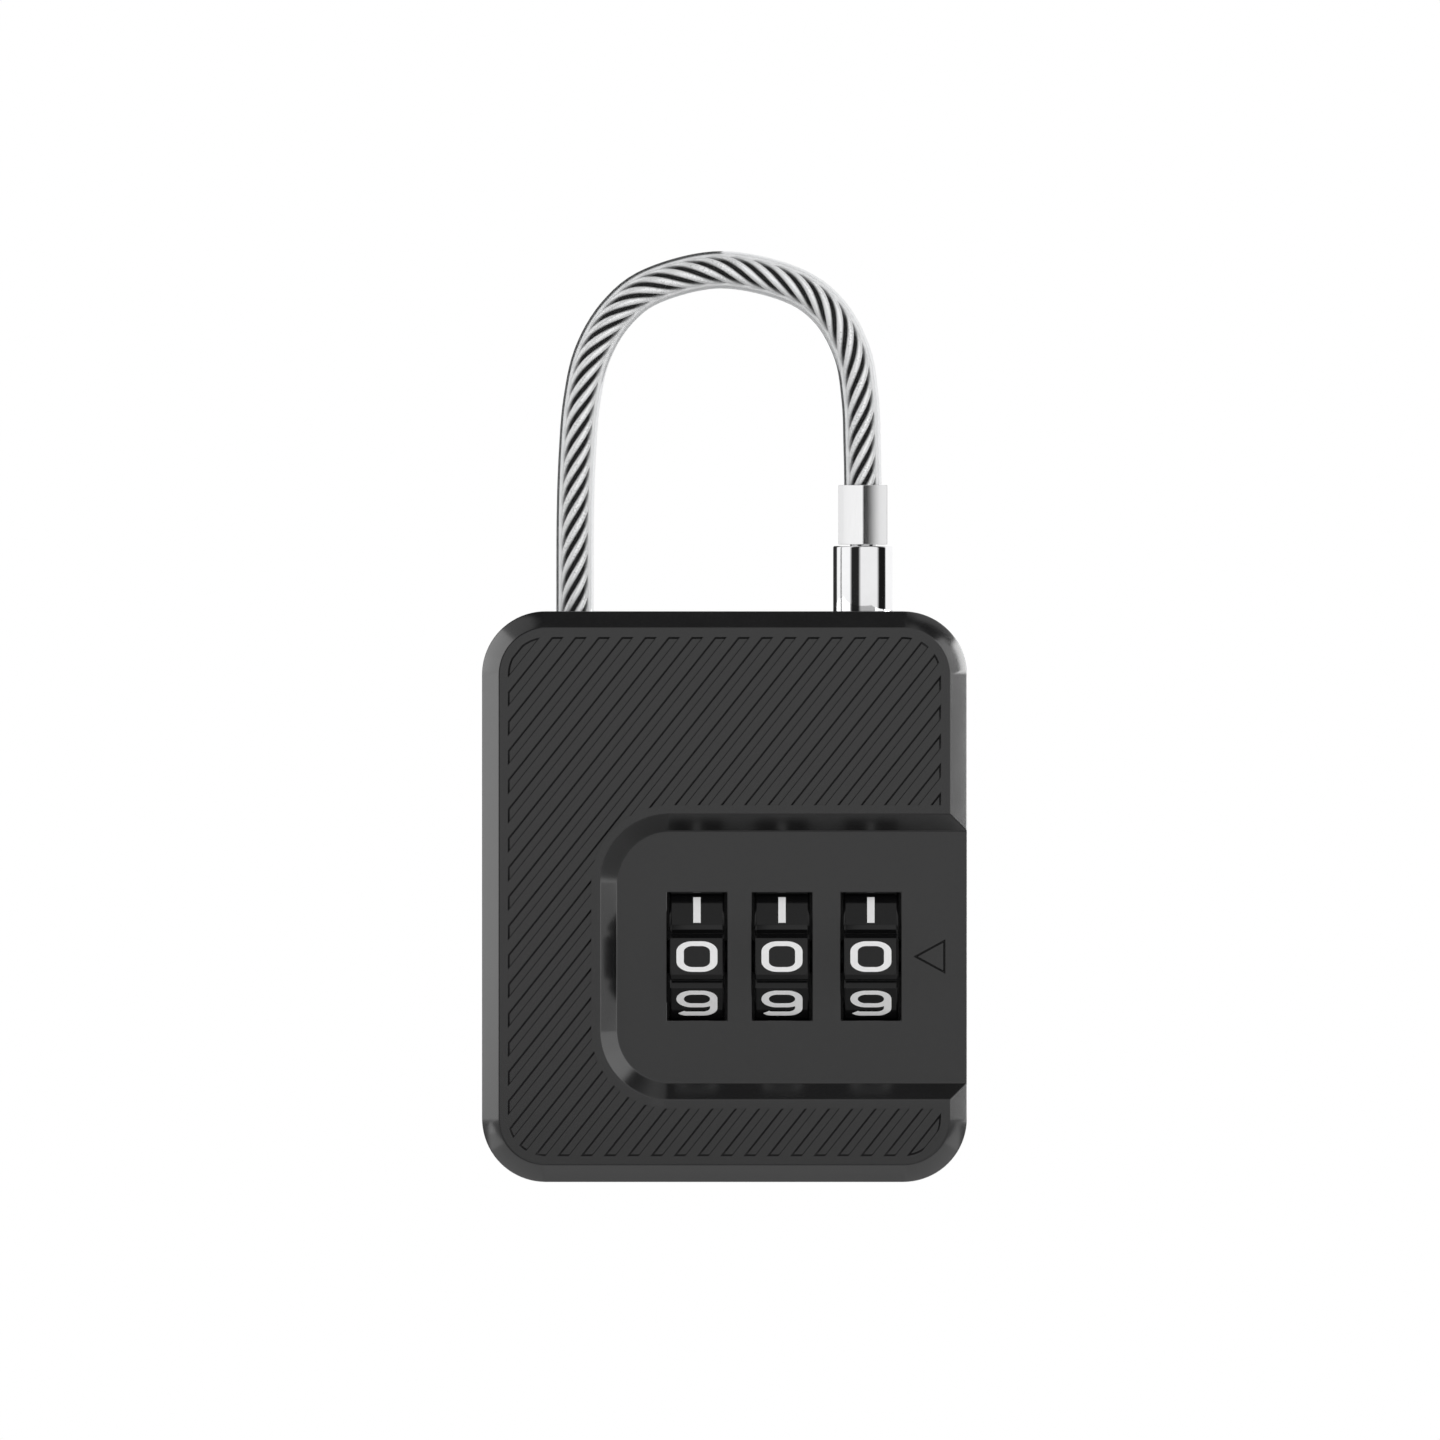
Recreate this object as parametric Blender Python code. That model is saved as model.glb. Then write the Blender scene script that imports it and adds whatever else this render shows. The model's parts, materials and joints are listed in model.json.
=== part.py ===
"""Cable luggage lock: three number wheels, a latch and a wire-rope shackle.

The lock stands upright on its bottom face.  X points right, Y points back and Z points up.
The origin is the middle of the bottom face.  The front of the lock faces -Y.
"""

import math

import bmesh
import bpy
from mathutils import Matrix, Vector

MM = 0.001

# Body
BODY_WIDTH = 30.5 * MM
BODY_HEIGHT = 35.9 * MM
BODY_DEPTH = 13.0 * MM
CORNER_RADIUS = 4.0 * MM
FRONT_CHAMFER = 1.05 * MM
REAR_CHAMFER = 0.8 * MM
SIDE_WALL = 1.6 * MM
TOP_WALL = 1.7 * MM
SHELL_REAR_Y = 4.6 * MM
PARTING_GAP = 0.3 * MM
REST_GAP = 0.3 * MM

# Dial panel, sunk into the front and open to the right
PANEL_WALL = 0.9 * MM
PANEL_LEFT = -6.76 * MM
PANEL_BOTTOM = 6.23 * MM
PANEL_TOP = 22.08 * MM
PANEL_CORNER_RADIUS = 3.3 * MM

# Number wheels
DIAL_CENTRES_X = (-1.73 * MM, 3.62 * MM, 9.21 * MM)
DIAL_AXIS_Y = -1.5 * MM
DIAL_AXIS_Z = 14.18 * MM
DIGIT_COUNT = 10
WHEEL_WIDTH = 3.45 * MM
WHEEL_APOTHEM = 4.97 * MM
WHEEL_GROOVE_WIDTH = 0.92 * MM
WHEEL_GROOVE_RADIUS = 4.76 * MM
WHEEL_BEVEL = 0.12 * MM
WINDOW_WIDTH = 3.77 * MM
WINDOW_HEIGHT = 8.05 * MM
WINDOW_STRAIGHT_DEPTH = 0.35 * MM
WINDOW_FLARE = 0.6 * MM

# Engraved triangle that points at the reading line
MARK_CENTRE_X = 12.98 * MM
MARK_POINT_X = -1.0 * MM
MARK_BASE_X = 0.86 * MM
MARK_HALF_HEIGHT = 1.02 * MM
MARK_LINE_WIDTH = 0.1 * MM
MARK_DEPTH = 0.12 * MM

# Code hubs inside the wheels
HUB_APOTHEM = 2.82 * MM
HUB_CLEARANCE = 0.08 * MM
HUB_CAVITY_RADIUS = 2.2 * MM
FLANGE_THICKNESS = 0.5 * MM
GATE_WIDTH = 1.24 * MM

# Latch
SPINDLE_RADIUS = 1.0 * MM
RUNNING_GAP = 0.08 * MM
LUG_THICKNESS = 0.6 * MM
LUG_WIDTH = 1.0 * MM
LUG_REACH = 1.95 * MM
LUG_GAP = 0.2 * MM
PLATE_THICKNESS = 0.8 * MM
SPINDLE_LEFT = -4.9 * MM
SPINDLE_RIGHT = 11.9 * MM
TENON_RADIUS = 0.65 * MM
CLIP_LEFT = -6.7 * MM
CLIP_RIGHT = -6.35 * MM

# Frame that carries the wheels, and the leaf spring behind them
CARRIAGE_FRONT_Y = -4.2 * MM
CARRIAGE_BACK_Y = 3.0 * MM
CARRIAGE_BOTTOM_Z = 7.65 * MM
CARRIAGE_TOP_Z = 20.7 * MM
CARRIAGE_RAIL = 1.0 * MM
CARRIAGE_WALLS_X = (
    (-4.7 * MM, -3.75 * MM),
    (0.25 * MM, 1.65 * MM),
    (5.6 * MM, 7.2 * MM),
    (11.15 * MM, 11.95 * MM),
)
EAR_FRONT_Y = 2.3 * MM
EAR_BACK_Y = 3.3 * MM
LEAF_FRONT_Y = 3.85 * MM
LEAF_THICKNESS = 0.2 * MM
RIVET_CENTRES_X = (0.95 * MM, 6.4 * MM)
RIVET_Z = 20.55 * MM
RIVET_RADIUS = 0.35 * MM
RIVET_BORE_RADIUS = 0.42 * MM

# Plug, on the free end of the cable
PLUG_X = 8.71 * MM
PIN_RADIUS = 1.45 * MM
PIN_TIP_Z = 27.9 * MM
PIN_TOP_Z = 35.2 * MM
NECK_RADIUS = 0.95 * MM
NECK_BOTTOM_Z = 30.5 * MM
NECK_TOP_Z = 31.6 * MM
NECK_SLOPE = 0.17
STEM_RADIUS = 0.8 * MM
COLLAR_RADIUS = 1.87 * MM
COLLAR_BOTTOM_Z = 35.3 * MM
COLLAR_TOP_Z = 40.0 * MM
CRIMP_HALF_WIDTH = 1.54 * MM
CRIMP_TOP_Z = 43.84 * MM
CRIMP_CABLE_FLOOR_Z = 41.3 * MM
CRIMP_STEM_CEILING_Z = 40.9 * MM
STEM_TOP_Z = 40.7 * MM

# Cable
CABLE_RADIUS = 1.175 * MM
CABLE_LEFT_X = -9.4 * MM
CABLE_POINT_SPACING = 4.4 * MM
CABLE_ROUTE = [
    (-9.40, 28.0),
    (-9.40, 36.0),
    (-9.38, 42.0),
    (-9.24, 46.0),
    (-8.96, 49.2),
    (-8.29, 52.1),
    (-6.78, 54.65),
    (-4.47, 56.4),
    (-0.31, 57.38),
    (3.94, 56.56),
    (6.48, 54.9),
    (8.02, 52.2),
    (8.54, 49.2),
    (8.66, 46.2),
    (8.71, 43.8),
    (8.71, 41.6),
]

# Fasteners
SCREW_CENTRES = (
    (-12.3 * MM, 3.0 * MM),
    (12.3 * MM, 3.0 * MM),
    (-12.3 * MM, 32.9 * MM),
    (12.3 * MM, 32.9 * MM),
)
CARRIAGE_SCREW_CENTRES = ((5.9 * MM, 23.0 * MM), (-7.0 * MM, 8.9 * MM))
COVER_SCREW_TIP_Y = -0.5 * MM
COVER_SCREW_HEAD_Y = 5.9 * MM
COVER_SCREW_HEAD_RADIUS = 1.35 * MM
CARRIAGE_SCREW_TIP_Y = -1.2 * MM
CARRIAGE_SCREW_HEAD_Y = 3.6 * MM
CARRIAGE_SCREW_HEAD_RADIUS = 1.2 * MM
SCREW_HEAD_HEIGHT = 0.5 * MM
HEAD_ROOM_FLOOR_Y = 5.6 * MM
HEAD_ROOM_RADIUS = 1.5 * MM
SHANK_HOLE_RADIUS = 0.8 * MM
POST_RADIUS = 1.4 * MM
SHANK_RADIUS = 0.65 * MM
SCREW_BORE_RADIUS = 0.7 * MM

# Ribbed field on the front
RIB_DEPTH = 0.13 * MM
RIB_WIDTH = 0.51 * MM
RIB_PITCH_X = 1.466 * MM
RIB_ANGLE = math.radians(51.4)
RIB_MARGIN = 0.57 * MM
RIB_START_X = -10.56 * MM
RIB_START_Z = 34.19 * MM

# Push pin for setting a new code, in the right side
RESET_HOLE_RADIUS = 0.98 * MM
RESET_POCKET_RADIUS = 1.75 * MM
RESET_POCKET_END_X = 14.45 * MM

ROUND_STEPS = 32
SMALL_ROUND_STEPS = 20
CORNER_STEPS = 7

FRONT_Y = -BODY_DEPTH / 2
REAR_Y = BODY_DEPTH / 2
PANEL_Y = FRONT_Y + FRONT_CHAMFER
CAVITY_FRONT_Y = PANEL_Y + PANEL_WALL
COVER_FRONT_Y = SHELL_REAR_Y + PARTING_GAP
BODY_RIGHT = BODY_WIDTH / 2
CARRIAGE_POST_Y = 2.0 * MM
COVER_POST_Y = SHELL_REAR_Y - 0.1 * MM
POSTS = [(centre, COVER_POST_Y) for centre in SCREW_CENTRES]
POSTS += [(centre, CARRIAGE_POST_Y) for centre in CARRIAGE_SCREW_CENTRES]


# ---------------------------------------------------------------- scene helpers

def clear_scene():
    for scene_object in list(bpy.data.objects):
        bpy.data.objects.remove(scene_object, do_unlink=True)


def make_material(name, colour, metallic, roughness):
    material = bpy.data.materials.new(name)
    material.use_nodes = True
    shader = material.node_tree.nodes["Principled BSDF"]
    shader.inputs["Base Color"].default_value = (*colour, 1.0)
    shader.inputs["Metallic"].default_value = metallic
    shader.inputs["Roughness"].default_value = roughness
    material.diffuse_color = (*colour, 1.0)
    return material


def make_pivot(name, location):
    pivot = bpy.data.objects.new(name, None)
    pivot.location = location
    pivot.empty_display_size = 2 * MM
    bpy.context.collection.objects.link(pivot)
    return pivot


def add_object(name, mesh, pivot=None, location=(0, 0, 0), material=None, smooth=False):
    part = bpy.data.objects.new(name, mesh)
    bpy.context.collection.objects.link(part)
    part.parent = pivot
    part.location = location
    if material:
        mesh.materials.append(material)
    if smooth:
        mesh.shade_smooth()
        mesh.set_sharp_from_angle(angle=math.radians(35))
    return part


def mesh_from(bm, name):
    bmesh.ops.recalc_face_normals(bm, faces=bm.faces)
    mesh = bpy.data.meshes.new(name)
    bm.to_mesh(mesh)
    bm.free()
    return mesh


def boolean(target, tool, operation):
    """Cut a tool object out of a target, or join it on, and hide the tool."""
    modifier = target.modifiers.new(tool.name, "BOOLEAN")
    modifier.operation = operation
    modifier.solver = "EXACT"
    modifier.object = tool
    tool.hide_render = True
    tool.display_type = "WIRE"


def cut(target, *tools):
    for tool in tools:
        boolean(target, tool, "DIFFERENCE")


def join(target, *tools):
    for tool in tools:
        boolean(target, tool, "UNION")


# ---------------------------------------------------------------- mesh helpers

def loft_mesh(name, rings):
    """Closed solid through rings with equal point counts, capped at both ends."""
    bm = bmesh.new()
    loops = [[bm.verts.new(point) for point in ring] for ring in rings]
    count = len(loops[0])
    for lower, upper in zip(loops, loops[1:]):
        for i in range(count):
            j = (i + 1) % count
            bm.faces.new((lower[i], lower[j], upper[j], upper[i]))
    bm.faces.new(loops[0])
    bm.faces.new(loops[-1])
    return mesh_from(bm, name)


def box_mesh(name, low, high):
    corners = [(low[0], low[2]), (high[0], low[2]), (high[0], high[2]), (low[0], high[2])]
    return plate_mesh(name, corners, low[1], high[1])


def plate_mesh(name, outline, front_y, back_y):
    """Flat solid: an outline in X and Z, extruded along Y."""
    rings = [[(x, y, z) for x, z in outline] for y in (front_y, back_y)]
    return loft_mesh(name, rings)


def turned_mesh(name, profile, steps=ROUND_STEPS, closed=False, turn_to=None):
    """Solid of revolution about Z from (radius, height) points, with poles where the radius is 0."""
    bm = bmesh.new()
    loops = []
    for radius, height in profile:
        if radius == 0:
            pole = bm.verts.new((0, 0, height))
            loops.append([pole] * steps)
            continue
        ring = []
        for i in range(steps):
            angle = 2 * math.pi * i / steps
            ring.append(bm.verts.new((radius * math.cos(angle), radius * math.sin(angle), height)))
        loops.append(ring)
    pairs = list(zip(loops, loops[1:]))
    if closed:
        pairs.append((loops[-1], loops[0]))
    for lower, upper in pairs:
        for i in range(steps):
            j = (i + 1) % steps
            corners = [lower[i], lower[j], upper[j], upper[i]]
            distinct = list(dict.fromkeys(corners))
            bm.faces.new(distinct)
    if turn_to == "X":
        bmesh.ops.transform(bm, matrix=Matrix.Rotation(math.pi / 2, 4, "Y"), verts=bm.verts)
    if turn_to == "Y":
        bmesh.ops.transform(bm, matrix=Matrix.Rotation(-math.pi / 2, 4, "X"), verts=bm.verts)
    return mesh_from(bm, name)


def stepped_rod(name, sections, axis, centre=(0, 0, 0), steps=ROUND_STEPS):
    """Solid of stacked cylinders, given as (radius, end) from the first section's start."""
    start = sections[0][1]
    profile = [(0, start)]
    for (radius, end), (_, previous_end) in zip(sections[1:], sections):
        profile += [(radius, previous_end), (radius, end)]
    profile.append((0, profile[-1][1]))
    return add_object(name, turned_mesh(name, profile, steps, turn_to=axis), location=centre)


def rod(name, radius, start, end, axis, centre=(0, 0, 0), pivot=None, steps=ROUND_STEPS):
    """Plain cylinder along one axis, between two places on that axis."""
    profile = [(0, start), (radius, start), (radius, end), (0, end)]
    mesh = turned_mesh(name, profile, steps, turn_to=axis)
    return add_object(name, mesh, pivot, centre)


def block(name, low, high, pivot=None):
    return add_object(name, box_mesh(name, low, high), pivot)


def corner_arc(centre_x, centre_z, radius, start_degrees):
    points = []
    for i in range(CORNER_STEPS + 1):
        angle = math.radians(start_degrees + 90 * i / CORNER_STEPS)
        points.append((centre_x + radius * math.cos(angle), centre_z + radius * math.sin(angle)))
    return points


def body_outline(inset):
    """Rounded rectangle of the body, moved inward by the inset."""
    half = BODY_WIDTH / 2 - CORNER_RADIUS
    low = CORNER_RADIUS
    high = BODY_HEIGHT - CORNER_RADIUS
    radius = CORNER_RADIUS - inset
    outline = corner_arc(half, high, radius, 0)
    outline += corner_arc(-half, high, radius, 90)
    outline += corner_arc(-half, low, radius, 180)
    outline += corner_arc(half, low, radius, 270)
    return outline


def panel_outline(grow):
    """Dial panel with rounded left corners, grown outward; it runs out past the right side."""
    radius = PANEL_CORNER_RADIUS + grow
    left = PANEL_LEFT + PANEL_CORNER_RADIUS
    right = BODY_RIGHT + 2 * MM
    outline = [(right, PANEL_TOP + grow)]
    outline += corner_arc(left, PANEL_TOP - PANEL_CORNER_RADIUS, radius, 90)
    outline += corner_arc(left, PANEL_BOTTOM + PANEL_CORNER_RADIUS, radius, 180)
    outline += [(right, PANEL_BOTTOM - grow)]
    return outline


def ring_at(outline, y):
    return [(x, y, z) for x, z in outline]


def polygon_ring(sides, apothem, x):
    """Regular polygon about the X axis, with one flat facing -Y."""
    radius = apothem / math.cos(math.pi / sides)
    ring = []
    for i in range(sides):
        angle = 2 * math.pi * (i + 0.5) / sides
        ring.append((x, -radius * math.cos(angle), radius * math.sin(angle)))
    return ring


def smooth_route(route, spacing):
    """Evenly spaced points on a Catmull-Rom curve through the route's points."""
    points = [Vector((x * MM, 0, z * MM)) for x, z in route]
    padded = [2 * points[0] - points[1], *points, 2 * points[-1] - points[-2]]
    fine = []
    for before, start, end, after in zip(padded, padded[1:], padded[2:], padded[3:]):
        for step in range(24):
            t = step / 24
            along = (end - before) * t
            bend = (2 * before - 5 * start + 4 * end - after) * t ** 2
            twist = (3 * start - before - 3 * end + after) * t ** 3
            fine.append(start + (along + bend + twist) / 2)
    fine.append(points[-1])
    length = sum((b - a).length for a, b in zip(fine, fine[1:]))
    count = round(length / spacing)
    targets = [length * i / count for i in range(count)]
    spaced = []
    travelled = 0.0
    for a, b in zip(fine, fine[1:]):
        step = (b - a).length
        while targets and targets[0] <= travelled + step:
            spaced.append(a.lerp(b, (targets.pop(0) - travelled) / step))
        travelled += step
    spaced.append(points[-1])
    return spaced


def tube_curve(name, points, radius, sides_level, material, location=(0, 0, 0)):
    curve = bpy.data.curves.new(name, "CURVE")
    curve.dimensions = "3D"
    curve.bevel_depth = radius
    curve.bevel_resolution = sides_level
    curve.use_fill_caps = True
    spline = curve.splines.new("POLY")
    spline.points.add(len(points) - 1)
    for spline_point, point in zip(spline.points, points):
        spline_point.co = (*point, 1.0)
    curve.materials.append(material)
    tube = bpy.data.objects.new(name, curve)
    tube.location = location
    bpy.context.collection.objects.link(tube)
    return tube


def coil_spring(name, coil_radius, wire_radius, start_x, end_x, turns, location, material):
    """Compression spring along X."""
    steps_per_turn = 14
    steps = round(turns * steps_per_turn)
    points = []
    for i in range(steps + 1):
        angle = 2 * math.pi * i / steps_per_turn
        x = start_x + (end_x - start_x) * i / steps
        points.append((x, coil_radius * math.cos(angle), coil_radius * math.sin(angle)))
    return tube_curve(name, points, wire_radius, 1, material, location)


# ---------------------------------------------------------------- body

def make_front_shell(material):
    rings = [
        ring_at(body_outline(FRONT_CHAMFER), FRONT_Y),
        ring_at(body_outline(0), PANEL_Y),
        ring_at(body_outline(0), SHELL_REAR_Y),
    ]
    shell = add_object("front_shell", loft_mesh("front_shell", rings), material=material)
    cavity = plate_mesh("cavity", body_outline(SIDE_WALL), CAVITY_FRONT_Y, REAR_Y)
    cut(shell, add_object("cavity", cavity))
    over = 0.4 * MM
    rings = [
        ring_at(panel_outline(FRONT_CHAMFER + over), FRONT_Y - over),
        ring_at(panel_outline(0), PANEL_Y),
    ]
    cut(shell, add_object("panel_recess", loft_mesh("panel_recess", rings)))
    for number, centre_x in enumerate(DIAL_CENTRES_X, 1):
        cut(shell, dial_window(f"window_{number}", centre_x))
    cut(shell, reading_mark())
    add_posts(shell)
    add_shelves(shell)
    cut_screw_bores(shell)
    cut_holes(shell)
    cut(shell, rib_grooves())
    return shell


def dial_window(name, centre_x):
    """Straight opening that flares above and below towards the inside, clear of the wheel."""
    half = WINDOW_HEIGHT / 2
    sections = (
        (FRONT_Y, half),
        (PANEL_Y + WINDOW_STRAIGHT_DEPTH, half),
        (CAVITY_FRONT_Y + 0.4 * MM, half + WINDOW_FLARE),
    )
    rings = []
    for y, reach in sections:
        left = centre_x - WINDOW_WIDTH / 2
        right = centre_x + WINDOW_WIDTH / 2
        low = DIAL_AXIS_Z - reach
        high = DIAL_AXIS_Z + reach
        rings.append(ring_at([(left, low), (right, low), (right, high), (left, high)], y))
    return add_object(name, loft_mesh(name, rings))


def triangle_outline(grow):
    tip = (MARK_CENTRE_X + MARK_POINT_X - 1.9 * grow, DIAL_AXIS_Z)
    base_x = MARK_CENTRE_X + MARK_BASE_X + grow
    reach = MARK_HALF_HEIGHT + 1.55 * grow
    return [tip, (base_x, DIAL_AXIS_Z + reach), (base_x, DIAL_AXIS_Z - reach)]


def reading_mark():
    """Triangle drawn with a thin groove."""
    half = MARK_LINE_WIDTH / 2
    floor_y = PANEL_Y + MARK_DEPTH
    outer = plate_mesh("reading_mark", triangle_outline(half), PANEL_Y - MARK_DEPTH, floor_y)
    inner = plate_mesh("mark_land", triangle_outline(-half), PANEL_Y - 2 * MARK_DEPTH, floor_y + MARK_DEPTH)
    mark = add_object("reading_mark", outer)
    cut(mark, add_object("mark_land", inner))
    return mark


def add_posts(shell):
    """Screw posts that stand on the inside of the front wall."""
    start = CAVITY_FRONT_Y - 0.25 * MM
    for number, ((x, z), top_y) in enumerate(POSTS, 1):
        join(shell, rod(f"post_{number}", POST_RADIUS, start, top_y, "Y", (x, 0, z), steps=24))


def cut_screw_bores(shell):
    blind_end_y = -2.0 * MM
    for number, ((x, z), top_y) in enumerate(POSTS, 1):
        end = top_y + MM
        cut(shell, rod(f"bore_{number}", SCREW_BORE_RADIUS, blind_end_y, end, "Y", (x, 0, z), steps=16))


def add_shelves(shell):
    """Shelves on the inside of the front wall that seat the cable anchor, the sleeve and the latch."""
    front = CAVITY_FRONT_Y - 0.25 * MM
    wall = BODY_RIGHT - SIDE_WALL + 0.2 * MM
    shelves = {
        "anchor_shelf_upper": ((-wall, front, 31.5 * MM), (-6.9 * MM, 3.2 * MM, 32.5 * MM)),
        "anchor_shelf_lower": ((-wall, front, 25.5 * MM), (-6.9 * MM, 2.2 * MM, 26.4 * MM)),
        "sleeve_shelf_upper": ((6.3 * MM, front, 32.35 * MM), (wall, 2.6 * MM, 33.15 * MM)),
        "sleeve_shelf_lower": ((6.3 * MM, front, 28.0 * MM), (wall, 2.6 * MM, 28.8 * MM)),
        "latch_shelf_lower": ((1.0 * MM, front, 28.0 * MM), (5.0 * MM, 1.4 * MM, 28.9 * MM)),
        "latch_shelf_upper": ((-1.5 * MM, front, 32.2 * MM), (5.0 * MM, 1.4 * MM, 33.0 * MM)),
        "latch_spring_seat": ((-7.3 * MM, front, 28.4 * MM), (-6.5 * MM, 1.8 * MM, 32.3 * MM)),
    }
    for name, (low, high) in shelves.items():
        join(shell, block(name, low, high))
    slots = {
        "anchor_slot": (CABLE_LEFT_X, CABLE_RADIUS + 0.15 * MM, 31.2 * MM, 32.7 * MM),
        "sleeve_slot_upper": (PLUG_X, 2.05 * MM, 32.2 * MM, 33.3 * MM),
        "sleeve_slot_lower": (PLUG_X, 2.05 * MM, 27.8 * MM, 29.0 * MM),
    }
    for name, (centre_x, radius, low_z, high_z) in slots.items():
        cut(shell, u_slot(name, centre_x, radius, low_z, high_z))


def u_slot(name, centre_x, radius, low_z, high_z):
    """Round-ended slot through a shelf, open to the back."""
    outline = [(centre_x + radius, SHELL_REAR_Y)]
    for i in range(13):
        angle = -math.pi * i / 12
        outline.append((centre_x + radius * math.cos(angle), radius * math.sin(angle)))
    outline.append((centre_x - radius, SHELL_REAR_Y))
    rings = [[(x, y, z) for x, y in outline] for z in (low_z, high_z)]
    return add_object(name, loft_mesh(name, rings))


def cut_holes(shell):
    above = BODY_HEIGHT + MM
    inside = BODY_HEIGHT - TOP_WALL - 0.4 * MM
    counterbore_floor = COLLAR_BOTTOM_Z - REST_GAP
    cable_place = (CABLE_LEFT_X, 0, 0)
    plug_place = (PLUG_X, 0, 0)
    cut(shell, rod("cable_hole", CABLE_RADIUS + 0.1 * MM, inside, above, "Z", cable_place))
    plug_sections = (
        (0, inside),
        (PIN_RADIUS + 0.1 * MM, counterbore_floor),
        (COLLAR_RADIUS + RUNNING_GAP, above),
    )
    cut(shell, stepped_rod("plug_hole", plug_sections, "Z", plug_place))
    axis_place = (0, DIAL_AXIS_Y, DIAL_AXIS_Z)
    outside = BODY_RIGHT + MM
    start = BODY_RIGHT - SIDE_WALL - 0.4 * MM
    reset_sections = ((0, start), (RESET_POCKET_RADIUS, RESET_POCKET_END_X), (RESET_HOLE_RADIUS, outside))
    cut(shell, stepped_rod("reset_hole", reset_sections, "X", axis_place, steps=24))


def rib_grooves():
    """Slanting shallow grooves, clipped to the front face and kept clear of the dial panel."""
    above_face = 0.5 * MM
    floor_y = FRONT_Y + RIB_DEPTH
    outline = body_outline(FRONT_CHAMFER + RIB_MARGIN)
    field = add_object("rib_grooves", plate_mesh("rib_grooves", outline, FRONT_Y - above_face, floor_y))
    panel = panel_outline(FRONT_CHAMFER + RIB_MARGIN)
    border = plate_mesh("rib_border", panel, FRONT_Y - 2 * above_face, floor_y + above_face)
    cut(field, add_object("rib_border", border))
    boolean(field, rib_bars(floor_y + above_face), "INTERSECT")
    field.hide_render = True
    field.display_type = "WIRE"
    return field


def rib_bars(back_y):
    bm = bmesh.new()
    along = Vector((math.cos(RIB_ANGLE), 0, math.sin(RIB_ANGLE)))
    across = Vector((math.sin(RIB_ANGLE), 0, -math.cos(RIB_ANGLE)))
    front_y = FRONT_Y - MM
    length = 45 * MM
    first = -1
    last = math.ceil((BODY_WIDTH + BODY_HEIGHT / math.tan(RIB_ANGLE)) / RIB_PITCH_X)
    for number in range(first, last):
        start = Vector((RIB_START_X + number * RIB_PITCH_X, 0, RIB_START_Z))
        corners = [
            start - along * length - across * RIB_WIDTH / 2,
            start - along * length + across * RIB_WIDTH / 2,
            start + along * length + across * RIB_WIDTH / 2,
            start + along * length - across * RIB_WIDTH / 2,
        ]
        front = [bm.verts.new((c.x, front_y, c.z)) for c in corners]
        back = [bm.verts.new((c.x, back_y, c.z)) for c in corners]
        for i in range(4):
            j = (i + 1) % 4
            bm.faces.new((front[i], front[j], back[j], back[i]))
        bm.faces.new(front)
        bm.faces.new(back)
    return add_object("rib_bars", mesh_from(bm, "rib_bars"))


def make_rear_cover(material):
    rings = [
        ring_at(body_outline(0), COVER_FRONT_Y),
        ring_at(body_outline(0), REAR_Y - REAR_CHAMFER),
        ring_at(body_outline(REAR_CHAMFER), REAR_Y),
    ]
    cover = add_object("rear_cover", loft_mesh("rear_cover", rings), material=material)
    lip_front = SHELL_REAR_Y - 0.6 * MM
    lip_outer = SIDE_WALL + REST_GAP
    lip_inner = lip_outer + 0.7 * MM
    lip = add_object("lip", plate_mesh("lip", body_outline(lip_outer), lip_front, COVER_FRONT_Y + 0.2 * MM))
    hollow = plate_mesh("lip_hollow", body_outline(lip_inner), lip_front - MM, COVER_FRONT_Y)
    lip_cutters = [add_object("lip_hollow", hollow)]
    for number, (x, z) in enumerate(SCREW_CENTRES, 1):
        radius = POST_RADIUS + REST_GAP
        start = lip_front - MM
        tool = rod(f"post_room_{number}", radius, start, COVER_FRONT_Y, "Y", (x, 0, z), steps=24)
        lip_cutters.append(tool)
    cut(lip, *lip_cutters)
    join(cover, lip)
    for number, (x, z) in enumerate(SCREW_CENTRES, 1):
        place = (x, 0, z)
        end = REAR_Y + MM
        sections = ((0, SHELL_REAR_Y), (SHANK_HOLE_RADIUS, HEAD_ROOM_FLOOR_Y), (HEAD_ROOM_RADIUS, end))
        cut(cover, stepped_rod(f"screw_hole_{number}", sections, "Y", place, steps=20))
    return cover


def make_screw(name, centre, tip_y, head_y, head_radius, material):
    """Cross-head machine screw along Y with its head at the back."""
    tip_bevel = 0.25 * MM
    head_bevel = 0.1 * MM
    top = head_y + SCREW_HEAD_HEIGHT
    profile = [
        (0, tip_y),
        (SHANK_RADIUS - tip_bevel, tip_y),
        (SHANK_RADIUS, tip_y + tip_bevel),
        (SHANK_RADIUS, head_y),
        (head_radius, head_y),
        (head_radius, top - head_bevel),
        (head_radius - head_bevel, top),
        (0, top),
    ]
    mesh = turned_mesh(name, profile, SMALL_ROUND_STEPS, turn_to="Y")
    screw = add_object(name, mesh, location=(centre[0], 0, centre[1]), material=material, smooth=True)
    slot_depth = SCREW_HEAD_HEIGHT * 0.55
    half_length = head_radius * 0.62
    half_width = head_radius * 0.14
    sizes = {"across": (half_length, half_width), "upright": (half_width, half_length)}
    for direction, (half_x, half_z) in sizes.items():
        low = (centre[0] - half_x, top - slot_depth, centre[1] - half_z)
        high = (centre[0] + half_x, top + MM, centre[1] + half_z)
        cut(screw, block(f"{name}_{direction}", low, high))
    return screw


# ---------------------------------------------------------------- dials

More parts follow.
